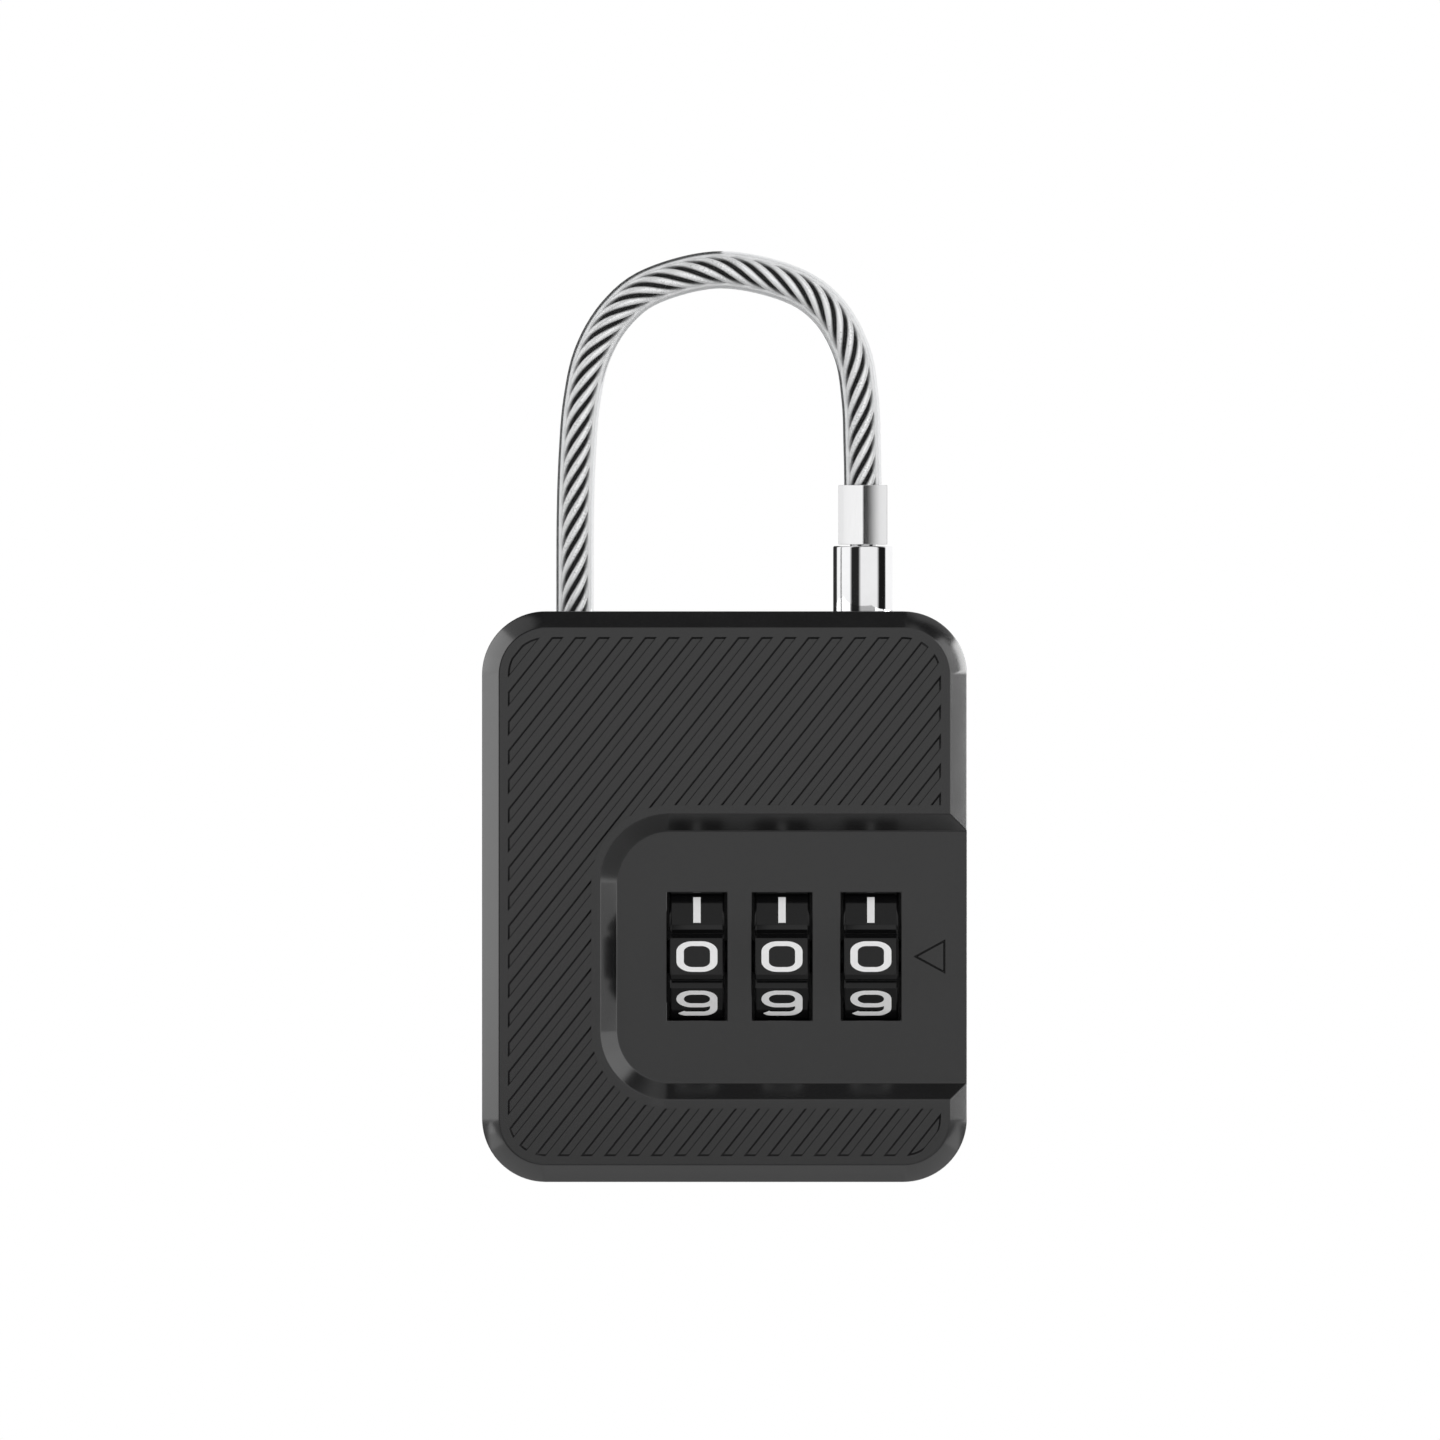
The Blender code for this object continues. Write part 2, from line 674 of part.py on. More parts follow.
def wheel_ring(x):
    """Ten flats with a V groove at every corner."""
    flat_half = WHEEL_APOTHEM * math.tan(math.pi / DIGIT_COUNT) - WHEEL_GROOVE_WIDTH / 2
    ring = []
    for digit in range(DIGIT_COUNT):
        angle = 2 * math.pi * digit / DIGIT_COUNT
        outward = Vector((0, -math.cos(angle), math.sin(angle)))
        along = Vector((0, math.sin(angle), math.cos(angle)))
        corner = angle + math.pi / DIGIT_COUNT
        groove = Vector((0, -math.cos(corner), math.sin(corner))) * WHEEL_GROOVE_RADIUS
        for point in (outward * WHEEL_APOTHEM - along * flat_half,
                      outward * WHEEL_APOTHEM + along * flat_half,
                      groove):
            ring.append((x, point.y, point.z))
    return ring


def make_number_wheel(number, pivot, material):
    name = f"number_wheel_{number}"
    half = WHEEL_WIDTH / 2
    rings = [
        shrink_ring(wheel_ring(-half), WHEEL_BEVEL),
        wheel_ring(-half + WHEEL_BEVEL),
        wheel_ring(half - WHEEL_BEVEL),
        shrink_ring(wheel_ring(half), WHEEL_BEVEL),
    ]
    wheel = add_object(name, loft_mesh(name, rings), pivot, material=material)
    bore_apothem = HUB_APOTHEM + HUB_CLEARANCE
    rings = [polygon_ring(DIGIT_COUNT, bore_apothem, x) for x in (-half - MM, half + MM)]
    cut(wheel, add_object(f"wheel_bore_{number}", loft_mesh(f"wheel_bore_{number}", rings), pivot))
    return wheel


def shrink_ring(ring, amount):
    scale = 1 - amount / WHEEL_APOTHEM
    return [(x, y * scale, z * scale) for x, y, z in ring]


def make_code_hub(number, pivot, material):
    name = f"code_hub_{number}"
    half = WHEEL_WIDTH / 2
    rings = [polygon_ring(DIGIT_COUNT, HUB_APOTHEM, x) for x in (-half, half)]
    hub = add_object(name, loft_mesh(name, rings), pivot, material=material)
    flange = FLANGE_THICKNESS / 2
    out = half + MM
    bore = SPINDLE_RADIUS + RUNNING_GAP
    cut(
        hub,
        rod(f"hub_left_{number}", HUB_CAVITY_RADIUS, -out, -flange, "X", pivot=pivot),
        rod(f"hub_right_{number}", HUB_CAVITY_RADIUS, flange, out, "X", pivot=pivot),
        rod(f"hub_bore_{number}", bore, -out, out, "X", pivot=pivot),
    )
    low = (-flange - 0.2 * MM, -GATE_WIDTH / 2, 0)
    high = (flange + 0.2 * MM, GATE_WIDTH / 2, HUB_CAVITY_RADIUS + 0.2 * MM)
    cut(hub, block(f"gate_{number}", low, high, pivot))
    return hub


def make_carriage(material):
    """Frame of four walls and two rails, open at the front and the back."""
    front = CARRIAGE_FRONT_Y
    back = CARRIAGE_BACK_Y
    left = CARRIAGE_WALLS_X[0][0]
    right = CARRIAGE_WALLS_X[-1][1]
    low_z = CARRIAGE_BOTTOM_Z
    high_z = CARRIAGE_TOP_Z
    low_rail = box_mesh("dial_carriage", (left, front, low_z), (right, back, low_z + CARRIAGE_RAIL))
    carriage = add_object("dial_carriage", low_rail, material=material)
    join(carriage, block("rail_upper", (left, front, high_z - CARRIAGE_RAIL), (right, back, high_z)))
    for number, (start, end) in enumerate(CARRIAGE_WALLS_X, 1):
        join(carriage, block(f"wall_{number}", (start, front, low_z), (end, back, high_z)))
    pad_low = (left, 2.2 * MM, high_z - CARRIAGE_RAIL)
    pad_high = (right, LEAF_FRONT_Y - REST_GAP, high_z + 0.75 * MM)
    join(carriage, block("spring_pad", pad_low, pad_high))
    upper_low = (4.4 * MM, EAR_FRONT_Y, 20.0 * MM)
    upper_high = (7.4 * MM, EAR_BACK_Y, 24.6 * MM)
    join(carriage, block("ear_upper", upper_low, upper_high))
    lower_low = (-8.6 * MM, EAR_FRONT_Y, low_z)
    lower_high = (left + 0.5 * MM, EAR_BACK_Y, 10.5 * MM)
    join(carriage, block("ear_lower", lower_low, lower_high))
    axis_place = (0, DIAL_AXIS_Y, DIAL_AXIS_Z)
    radius = SPINDLE_RADIUS + RUNNING_GAP
    cut(carriage, rod("spindle_bore", radius, left - MM, right + MM, "X", axis_place))
    keyway_low = (left - MM, DIAL_AXIS_Y - GATE_WIDTH / 2, DIAL_AXIS_Z)
    keyway_high = (right - MM, DIAL_AXIS_Y + GATE_WIDTH / 2, DIAL_AXIS_Z + LUG_REACH + 0.2 * MM)
    cut(carriage, block("keyway", keyway_low, keyway_high))
    for number, (x, z) in enumerate(CARRIAGE_SCREW_CENTRES, 1):
        start = EAR_FRONT_Y - MM
        end = EAR_BACK_Y + MM
        cut(carriage, rod(f"ear_hole_{number}", SHANK_HOLE_RADIUS, start, end, "Y", (x, 0, z), steps=20))
    for number, x in enumerate(RIVET_CENTRES_X, 1):
        start = LEAF_FRONT_Y - 1.25 * MM
        end = start + 2 * MM
        place = (x, 0, RIVET_Z)
        cut(carriage, rod(f"rivet_bore_{number}", RIVET_BORE_RADIUS, start, end, "Y", place, steps=16))
    return carriage


def make_detent_spring(material):
    """Comb-shaped leaf with one finger behind each wheel."""
    strip_low = 19.8 * MM
    strip_high = 21.4 * MM
    strip_left = -3.4 * MM
    strip_right = 10.9 * MM
    finger_tip = 12.6 * MM
    finger_half = 0.8 * MM
    outline = [(strip_left, strip_high), (strip_left, strip_low)]
    for centre in DIAL_CENTRES_X:
        outline += [
            (centre - finger_half, strip_low),
            (centre - finger_half * 0.7, finger_tip),
            (centre + finger_half * 0.7, finger_tip),
            (centre + finger_half, strip_low),
        ]
    outline += [(strip_right, strip_low), (strip_right, strip_high)]
    back = LEAF_FRONT_Y + LEAF_THICKNESS
    mesh = plate_mesh("detent_spring", outline, LEAF_FRONT_Y, back)
    spring = add_object("detent_spring", mesh, material=material)
    for number, x in enumerate(RIVET_CENTRES_X, 1):
        place = (x, 0, RIVET_Z)
        start = LEAF_FRONT_Y - MM
        cut(spring, rod(f"leaf_hole_{number}", RIVET_BORE_RADIUS, start, back + MM, "Y", place, steps=16))
    return spring


def make_detent_rivet(number, centre_x, material):
    name = f"detent_rivet_{number}"
    tip = LEAF_FRONT_Y - 1.05 * MM
    head = LEAF_FRONT_Y + LEAF_THICKNESS + 0.05 * MM
    profile = [
        (0, tip),
        (RIVET_RADIUS, tip),
        (RIVET_RADIUS, head),
        (0.8 * MM, head),
        (0.8 * MM, head + 0.15 * MM),
        (0.5 * MM, head + 0.35 * MM),
        (0, head + 0.35 * MM),
    ]
    mesh = turned_mesh(name, profile, 16, turn_to="Y")
    return add_object(name, mesh, location=(centre_x, 0, RIVET_Z), material=material, smooth=True)


# ---------------------------------------------------------------- latch

def make_latch_spindle(pivot, material):
    """Shaft along X with three lugs on top, one to the right of each hub's flange."""
    tenon = TENON_RADIUS
    groove = 0.45 * MM
    tenon_end = -7.2 * MM
    profile = [
        (0, tenon_end),
        (tenon, tenon_end),
        (tenon, CLIP_LEFT - 0.05 * MM),
        (groove, CLIP_LEFT - 0.05 * MM),
        (groove, CLIP_RIGHT + 0.05 * MM),
        (tenon, CLIP_RIGHT + 0.05 * MM),
        (tenon, SPINDLE_LEFT),
        (SPINDLE_RADIUS, SPINDLE_LEFT),
        (SPINDLE_RADIUS, SPINDLE_RIGHT - 0.2 * MM),
        (SPINDLE_RADIUS - 0.2 * MM, SPINDLE_RIGHT),
        (0, SPINDLE_RIGHT),
    ]
    mesh = turned_mesh("latch_spindle", profile, turn_to="X")
    spindle = add_object("latch_spindle", mesh, pivot, material=material, smooth=True)
    for number, centre in enumerate(DIAL_CENTRES_X, 1):
        start = centre + FLANGE_THICKNESS / 2 + LUG_GAP
        low = (start, -LUG_WIDTH / 2, 0.5 * MM)
        high = (start + LUG_THICKNESS, LUG_WIDTH / 2, LUG_REACH)
        join(spindle, block(f"lug_{number}", low, high, pivot))
    return spindle


def make_spindle_clip(pivot, material):
    profile = [
        (0.5 * MM, CLIP_LEFT),
        (1.3 * MM, CLIP_LEFT),
        (1.3 * MM, CLIP_RIGHT),
        (0.5 * MM, CLIP_RIGHT),
    ]
    mesh = turned_mesh("spindle_clip", profile, 20, closed=True, turn_to="X")
    clip = add_object("spindle_clip", mesh, pivot, material=material)
    low = (CLIP_LEFT - MM, -0.45 * MM, -2 * MM)
    high = (CLIP_RIGHT + MM, 0.45 * MM, 0)
    cut(clip, block("clip_mouth", low, high, pivot))
    return clip


def make_latch_plate(pivot, material):
    """Plate in the X-Z plane from the spindle up to the plug's neck, with a bent tab on the spindle."""
    nose_tip = PLUG_X - NECK_RADIUS - 0.12 * MM
    outline_mm = [
        (-6.0, 12.3),
        (-5.2, 12.3),
        (-5.2, 21.6),
        (0.2, 27.0),
        (0.2, 29.2),
        (6.4, 29.2),
        (6.4, 30.6),
        (nose_tip / MM, 30.6),
        (nose_tip / MM, 31.4),
        (6.4, 31.4),
        (6.4, 31.9),
        (-2.5, 31.9),
        (-2.5, 30.65),
        (-4.4, 30.65),
        (-4.4, 29.95),
        (-2.5, 29.95),
        (-2.5, 27.6),
        (-6.6, 23.2),
        (-6.6, 17.0),
        (-6.0, 16.4),
    ]
    outline = [(x * MM, z * MM - DIAL_AXIS_Z) for x, z in outline_mm]
    front = -PLATE_THICKNESS / 2 - DIAL_AXIS_Y
    back = PLATE_THICKNESS / 2 - DIAL_AXIS_Y
    mesh = plate_mesh("latch_plate", outline, front, back)
    plate = add_object("latch_plate", mesh, pivot, material=material)
    tab_low = (-6.0 * MM, -1.7 * MM, -1.88 * MM)
    tab_high = (-5.2 * MM, back, 1.9 * MM)
    join(plate, block("tab", tab_low, tab_high, pivot))
    hole_radius = TENON_RADIUS + RUNNING_GAP
    cut(plate, rod("tab_hole", hole_radius, -8 * MM, -4 * MM, "X", pivot=pivot, steps=20))
    return plate


# ---------------------------------------------------------------- plug and cable

def make_plug_pin(pivot, material):
    slope_end = NECK_RADIUS + NECK_SLOPE * (NECK_BOTTOM_Z - PIN_TIP_Z - 0.5 * MM)
    profile_world = [
        (0, PIN_TIP_Z),
        (slope_end - 0.45 * MM, PIN_TIP_Z),
        (slope_end, PIN_TIP_Z + 0.5 * MM),
        (NECK_RADIUS, NECK_BOTTOM_Z),
        (NECK_RADIUS, NECK_TOP_Z),
        (PIN_RADIUS, NECK_TOP_Z + 0.1 * MM),
        (PIN_RADIUS, PIN_TOP_Z),
        (STEM_RADIUS, PIN_TOP_Z),
        (STEM_RADIUS, STEM_TOP_Z),
        (0, STEM_TOP_Z),
    ]
    profile = [(radius, z - BODY_HEIGHT) for radius, z in profile_world]
    return add_object("plug_pin", turned_mesh("plug_pin", profile), pivot, material=material, smooth=True)


def make_plug_collar(pivot, material):
    bottom = COLLAR_BOTTOM_Z - BODY_HEIGHT
    top = COLLAR_TOP_Z - BODY_HEIGHT
    bevel = 0.12 * MM
    bore = STEM_RADIUS + RUNNING_GAP
    profile = [
        (bore, bottom),
        (COLLAR_RADIUS - bevel, bottom),
        (COLLAR_RADIUS, bottom + bevel),
        (COLLAR_RADIUS, top - bevel),
        (COLLAR_RADIUS - bevel, top),
        (bore, top),
    ]
    mesh = turned_mesh("plug_collar", profile, closed=True)
    return add_object("plug_collar", mesh, pivot, material=material, smooth=True)


def make_crimp_ferrule(pivot, material):
    """Six-sided sleeve with one edge facing the front."""
    bottom = COLLAR_TOP_Z + 0.1 * MM - BODY_HEIGHT
    top = CRIMP_TOP_Z - BODY_HEIGHT
    radius = CRIMP_HALF_WIDTH / math.cos(math.pi / 6)
    rings = []
    for z in (bottom, top):
        ring = []
        for i in range(6):
            angle = math.radians(60 * i + 30)
            ring.append((radius * math.cos(angle), radius * math.sin(angle), z))
        rings.append(ring)
    ferrule = add_object("crimp_ferrule", loft_mesh("crimp_ferrule", rings), pivot, material=material)
    cable_floor = CRIMP_CABLE_FLOOR_Z - BODY_HEIGHT
    stem_ceiling = CRIMP_STEM_CEILING_Z - BODY_HEIGHT
    cable_radius = CABLE_RADIUS + 0.12 * MM
    cut(ferrule, rod("crimp_cable_bore", cable_radius, cable_floor, top + MM, "Z", pivot=pivot))
    stem_radius = STEM_RADIUS + RUNNING_GAP
    cut(ferrule, rod("crimp_stem_bore", stem_radius, bottom - MM, stem_ceiling, "Z", pivot=pivot))
    return ferrule


def make_socket_sleeve(material):
    bore = PIN_RADIUS + 0.1 * MM
    outside = bore + 0.4 * MM
    bottom = 27.3 * MM
    top = 33.9 * MM
    profile = [(bore, bottom), (outside, bottom), (outside, top), (bore, top)]
    mesh = turned_mesh("socket_sleeve", profile, closed=True)
    sleeve = add_object("socket_sleeve", mesh, location=(PLUG_X, 0, 0), material=material, smooth=True)
    low = (PLUG_X - outside - MM, -0.75 * MM, 30.2 * MM)
    high = (PLUG_X - MM, 0.75 * MM, 31.8 * MM)
    cut(sleeve, block("nose_slot", low, high))
    return sleeve


def make_anchor_ferrule(material):
    bore = CABLE_RADIUS + 0.12 * MM
    outside = 1.7 * MM
    bottom = 26.7 * MM
    floor = 27.6 * MM
    top = 31.2 * MM
    profile = [(0, bottom), (outside, bottom), (outside, top), (bore, top), (bore, floor), (0, floor)]
    mesh = turned_mesh("anchor_ferrule", profile)
    return add_object("anchor_ferrule", mesh, location=(CABLE_LEFT_X, 0, 0), material=material, smooth=True)


def make_reset_pin(pivot, material):
    flange_left = 13.75 * MM
    flange_right = 14.15 * MM
    profile = [
        (0, 12.95 * MM),
        (0.55 * MM, 12.95 * MM),
        (0.55 * MM, flange_left),
        (1.5 * MM, flange_left),
        (1.5 * MM, flange_right),
        (0.9 * MM, flange_right),
        (0.9 * MM, BODY_RIGHT - 0.1 * MM),
        (0, BODY_RIGHT - 0.1 * MM),
    ]
    mesh = turned_mesh("reset_pin", profile, 24, turn_to="X")
    return add_object("reset_pin", mesh, pivot, material=material, smooth=True)


# ---------------------------------------------------------------- assembly

def build():
    clear_scene()
    black_paint = make_material("black_paint", (0.018, 0.018, 0.019), 0.2, 0.42)
    black_cover = make_material("black_cover", (0.016, 0.016, 0.017), 0.2, 0.5)
    wheel_plastic = make_material("wheel_plastic", (0.012, 0.012, 0.013), 0.0, 0.38)
    hub_brass = make_material("hub_brass", (0.75, 0.56, 0.26), 1.0, 0.3)
    zinc = make_material("cast_zinc", (0.5, 0.5, 0.52), 1.0, 0.5)
    chrome = make_material("chrome", (0.86, 0.87, 0.88), 1.0, 0.08)
    satin_steel = make_material("satin_steel", (0.72, 0.73, 0.74), 1.0, 0.3)
    spring_steel = make_material("spring_steel", (0.45, 0.46, 0.48), 1.0, 0.35)
    screw_steel = make_material("screw_steel", (0.09, 0.09, 0.1), 0.9, 0.4)
    rope = make_material("coated_rope", (0.66, 0.67, 0.68), 0.6, 0.28)

    make_front_shell(black_paint)
    make_rear_cover(black_cover)
    for number, centre in enumerate(SCREW_CENTRES, 1):
        name = f"rear_screw_{number}"
        make_screw(name, centre, COVER_SCREW_TIP_Y, COVER_SCREW_HEAD_Y, COVER_SCREW_HEAD_RADIUS, screw_steel)
    make_carriage(zinc)
    for number, centre in enumerate(CARRIAGE_SCREW_CENTRES, 1):
        name = f"carriage_screw_{number}"
        head_radius = CARRIAGE_SCREW_HEAD_RADIUS
        make_screw(name, centre, CARRIAGE_SCREW_TIP_Y, CARRIAGE_SCREW_HEAD_Y, head_radius, satin_steel)
    make_detent_spring(spring_steel)
    for number, centre_x in enumerate(RIVET_CENTRES_X, 1):
        make_detent_rivet(number, centre_x, satin_steel)

    for number, centre_x in enumerate(DIAL_CENTRES_X, 1):
        axis = make_pivot(f"dial_axis_{number}", (centre_x, DIAL_AXIS_Y, DIAL_AXIS_Z))
        make_number_wheel(number, axis, wheel_plastic)
        make_code_hub(number, axis, hub_brass)

    latch_axis = make_pivot("latch_axis", (0, DIAL_AXIS_Y, DIAL_AXIS_Z))
    make_latch_spindle(latch_axis, satin_steel)
    make_spindle_clip(latch_axis, spring_steel)
    make_latch_plate(latch_axis, spring_steel)
    place = (0, 0, 30.3 * MM)
    coil_spring("latch_spring", 1.0 * MM, 0.15 * MM, -6.2 * MM, -2.8 * MM, 5, place, satin_steel)

    reset_axis = make_pivot("reset_axis", (0, DIAL_AXIS_Y, DIAL_AXIS_Z))
    make_reset_pin(reset_axis, satin_steel)
    place = (0, DIAL_AXIS_Y, DIAL_AXIS_Z)
    coil_spring("reset_spring", 1.15 * MM, 0.1 * MM, 12.25 * MM, 13.5 * MM, 2, place, satin_steel)

    plug_axis = make_pivot("plug_axis", (PLUG_X, 0, BODY_HEIGHT))
    make_plug_pin(plug_axis, satin_steel)
    make_plug_collar(plug_axis, chrome)
    make_crimp_ferrule(plug_axis, satin_steel)
    make_socket_sleeve(hub_brass)
    make_anchor_ferrule(satin_steel)
    tube_curve("steel_cable", smooth_route(CABLE_ROUTE, CABLE_POINT_SPACING), CABLE_RADIUS, 2, rope)


build()
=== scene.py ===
"""Looks of the cable luggage lock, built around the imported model.

X points right, Y points back and Z points up.  The lock stands on z = 0 and its front faces -Y.
"""

import json
import math

import bmesh
import bpy
from mathutils import Matrix, Vector


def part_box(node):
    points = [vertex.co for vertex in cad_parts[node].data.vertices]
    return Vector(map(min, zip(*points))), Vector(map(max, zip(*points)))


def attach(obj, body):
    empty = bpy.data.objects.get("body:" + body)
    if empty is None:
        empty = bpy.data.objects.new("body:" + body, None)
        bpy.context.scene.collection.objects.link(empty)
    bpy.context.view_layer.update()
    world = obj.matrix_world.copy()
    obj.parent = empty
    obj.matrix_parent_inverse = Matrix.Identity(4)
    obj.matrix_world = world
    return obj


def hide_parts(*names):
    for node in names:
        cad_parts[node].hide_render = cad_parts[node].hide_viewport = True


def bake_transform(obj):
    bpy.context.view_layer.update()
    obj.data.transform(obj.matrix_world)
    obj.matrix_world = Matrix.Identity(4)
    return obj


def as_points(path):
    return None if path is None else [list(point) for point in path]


MM = 0.001
BACK = Vector((0, 1, 0))

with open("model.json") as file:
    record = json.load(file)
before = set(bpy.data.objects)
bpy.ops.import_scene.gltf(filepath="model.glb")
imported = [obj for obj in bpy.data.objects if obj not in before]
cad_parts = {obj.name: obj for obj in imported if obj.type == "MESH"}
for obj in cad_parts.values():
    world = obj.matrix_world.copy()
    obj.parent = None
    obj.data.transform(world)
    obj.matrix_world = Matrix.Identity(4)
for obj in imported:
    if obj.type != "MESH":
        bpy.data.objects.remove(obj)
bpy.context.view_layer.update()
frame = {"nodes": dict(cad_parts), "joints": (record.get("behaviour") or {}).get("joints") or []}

# ---------------- sizes

# Read from the frame
SHELL_LOW, SHELL_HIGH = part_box("front_shell")
COVER_LOW, COVER_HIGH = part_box("rear_cover")
COLLAR_LOW, COLLAR_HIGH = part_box("plug_collar")
CRIMP_LOW, CRIMP_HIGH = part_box("crimp_ferrule")
JOINT_PLACES = {joint["name"]: Vector(joint.get("pos_m", (0, 0, 0))) for joint in frame["joints"]}
DIAL_CENTRES = [JOINT_PLACES[f"dial_{number}_turn"] for number in (1, 2, 3)]
RESET_PLACE = JOINT_PLACES["reset_push"]
BODY_WIDTH = SHELL_HIGH.x - SHELL_LOW.x
BODY_HEIGHT = SHELL_HIGH.z
BODY_RIGHT = SHELL_HIGH.x
FRONT_Y = SHELL_LOW.y
REAR_Y = COVER_HIGH.y
SHELL_REAR_Y = SHELL_HIGH.y
PLUG_X = (COLLAR_LOW.x + COLLAR_HIGH.x) / 2
COLLAR_RADIUS = (COLLAR_HIGH.x - COLLAR_LOW.x) / 2
STEM_BORE_RADIUS = 0.84 * MM
DIAL_Z = DIAL_CENTRES[0].z

# Body
CORNER_RADIUS = 4.0 * MM
CORNER_STEPS = 20
FRONT_CHAMFER = 1.05 * MM
REAR_CHAMFER = 0.8 * MM
SIDE_WALL = 1.6 * MM
PARTING_GAP = 0.3 * MM
SEAM_DEPTH = 0.35 * MM
PANEL_WALL = 0.9 * MM
PANEL_LEFT = -6.76 * MM
PANEL_BOTTOM = 6.23 * MM
PANEL_TOP = 22.08 * MM
PANEL_CORNER_RADIUS = 3.3 * MM
WINDOW_WIDTH = 3.77 * MM
WINDOW_HEIGHT = 8.05 * MM
WINDOW_STRAIGHT_DEPTH = 0.35 * MM
WINDOW_FLARE = 0.6 * MM
EDGE_WIDTH = 0.07 * MM
PANEL_Y = FRONT_Y + FRONT_CHAMFER
COVER_FRONT_Y = SHELL_REAR_Y + PARTING_GAP
LIP_GAP = 0.3 * MM
LIP_WIDTH = 0.7 * MM
LIP_ROOT = 0.2 * MM
LIP_ROOM_RADIUS = 1.7 * MM
STEP_INNER = SIDE_WALL + 0.6 * MM
STEP_OVERLAP = 0.02 * MM
STEP_ROOT = 0.15 * MM
STEP_ROOM_RADIUS = 1.8 * MM

# Holes: the plug's and the reset pin's in the shell, and the screws' in the cover
PLUG_BORE_RADIUS = 1.55 * MM
COLLAR_SEAT_Z = 35.0 * MM
COLLAR_GAP = 0.08 * MM
RESET_POCKET_RADIUS = 1.75 * MM
RESET_POCKET_LEFT = 13.25 * MM
RESET_POCKET_RIGHT = 14.45 * MM
RESET_HOLE_RADIUS = 0.98 * MM
SCREW_HOLE_RADIUS = 0.8 * MM
SCREW_SEAT_Y = 5.6 * MM
SCREW_HEAD_HOLE_RADIUS = 1.5 * MM

# Engraved triangle
MARK_TIP_X = 12.03 * MM
MARK_BASE_X = 13.83 * MM
MARK_HALF_HEIGHT = 0.98 * MM
MARK_LINE_WIDTH = 0.13 * MM
MARK_DEPTH = 0.15 * MM
MARK_FLOOR_WIDTH = 0.016 * MM
MARK_TIP_SPREAD = 2.1
MARK_BASE_SPREAD = 1.6

# Ribbed field
RIB_DEPTH = 0.13 * MM
RIB_WIDTH = 0.58 * MM
RIB_UPPER_SLOPE = 0.12 * MM
RIB_LOWER_SLOPE = 0.04 * MM
RIB_PITCH_X = 1.466 * MM
RIB_ANGLE = math.radians(51.4)
RIB_MARGIN = 0.57 * MM
RIB_START_X = -10.56 * MM
RIB_START_Z = 34.19 * MM
RIB_HALF_LENGTH = 45 * MM

# Wheels
DIGIT_COUNT = 10
WHEEL_WIDTH = 3.45 * MM
WHEEL_APOTHEM = 4.97 * MM
WHEEL_GROOVE_WIDTH = 0.92 * MM
WHEEL_GROOVE_RADIUS = 4.76 * MM
WHEEL_BORE_APOTHEM = 2.9 * MM

# Numerals, drawn in a narrow box and then widened
NUMERAL_HALF_WIDTH = 0.6825
NUMERAL_HALF_HEIGHT = 0.8125
NUMERAL_STROKE = 0.3
NUMERAL_WIDEN = 1.55
NUMERAL_PROUD = 0.02 * MM
NUMERAL_SUNK = 0.08 * MM
NUMERAL_MITRE_LIMIT = 0.45
SAME_POINT = 1e-4
WELD_DISTANCE = 0.0005 * MM

# Cable
CABLE_RADIUS = 1.175 * MM
COAT_SIDES = 48
STRAND_SIDES = 32
STRAND_COUNT = 6
STRAND_RADIUS = 0.295 * MM
STRAND_CENTRE_RADIUS = 0.62 * MM
WIRE_RIDGE = 0.012 * MM
STRAND_LAY = 8.22 * MM
WIRE_LAY = 3.4 * MM
VALLEY_TOP = 0.8
VALLEY_BOTTOM = 0.4
ROPE_SPACING = 0.2 * MM
COAT_SPACING = 0.5 * MM
CABLE_ROUTE = [
    (-0.00940, 0.0280), (-0.00940, 0.0360), (-0.00938, 0.0420), (-0.00924, 0.0460),
    (-0.00896, 0.0492), (-0.00829, 0.0521), (-0.00678, 0.05465), (-0.00447, 0.0564),
    (-0.00031, 0.05738), (0.00394, 0.05656), (0.00648, 0.0549), (0.00802, 0.0522),
    (0.00854, 0.0492), (0.00866, 0.0462), (0.00871, 0.0438), (0.00871, 0.0416),
]

# Inside the body: posts, shelves as (left, right, back, low, high), and the slots in them
# as (x, radius, low, high)
POST_RADIUS = 1.4 * MM
POST_BORE_RADIUS = 0.7 * MM
POST_BORE_START = -2.0 * MM
POST_CLEARANCE_RADIUS = 1.0 * MM
CARRIAGE_POST_TOP = 2.0 * MM
SHELF_FRONT = PANEL_Y + PANEL_WALL - 0.25 * MM
SHELF_REACH = BODY_WIDTH / 2 - SIDE_WALL + 0.2 * MM
SHELVES = (
    (-SHELF_REACH, -6.9 * MM, 3.2 * MM, 31.5 * MM, 32.5 * MM),
    (-SHELF_REACH, -6.9 * MM, 2.2 * MM, 25.5 * MM, 26.4 * MM),
    (6.3 * MM, SHELF_REACH, 2.6 * MM, 32.35 * MM, 33.15 * MM),
    (6.3 * MM, SHELF_REACH, 2.6 * MM, 28.0 * MM, 28.8 * MM),
    (1.0 * MM, 5.0 * MM, 1.4 * MM, 28.0 * MM, 28.9 * MM),
    (-1.5 * MM, 5.0 * MM, 1.4 * MM, 32.2 * MM, 33.0 * MM),
    (-7.3 * MM, -6.5 * MM, 1.8 * MM, 28.4 * MM, 32.3 * MM),
)
SHELF_SLOTS = (
    (CABLE_ROUTE[0][0], CABLE_RADIUS + 0.15 * MM, 31.2 * MM, 32.7 * MM),
    (PLUG_X, 2.05 * MM, 32.2 * MM, 33.3 * MM),
    (PLUG_X, 2.05 * MM, 27.8 * MM, 29.0 * MM),
)

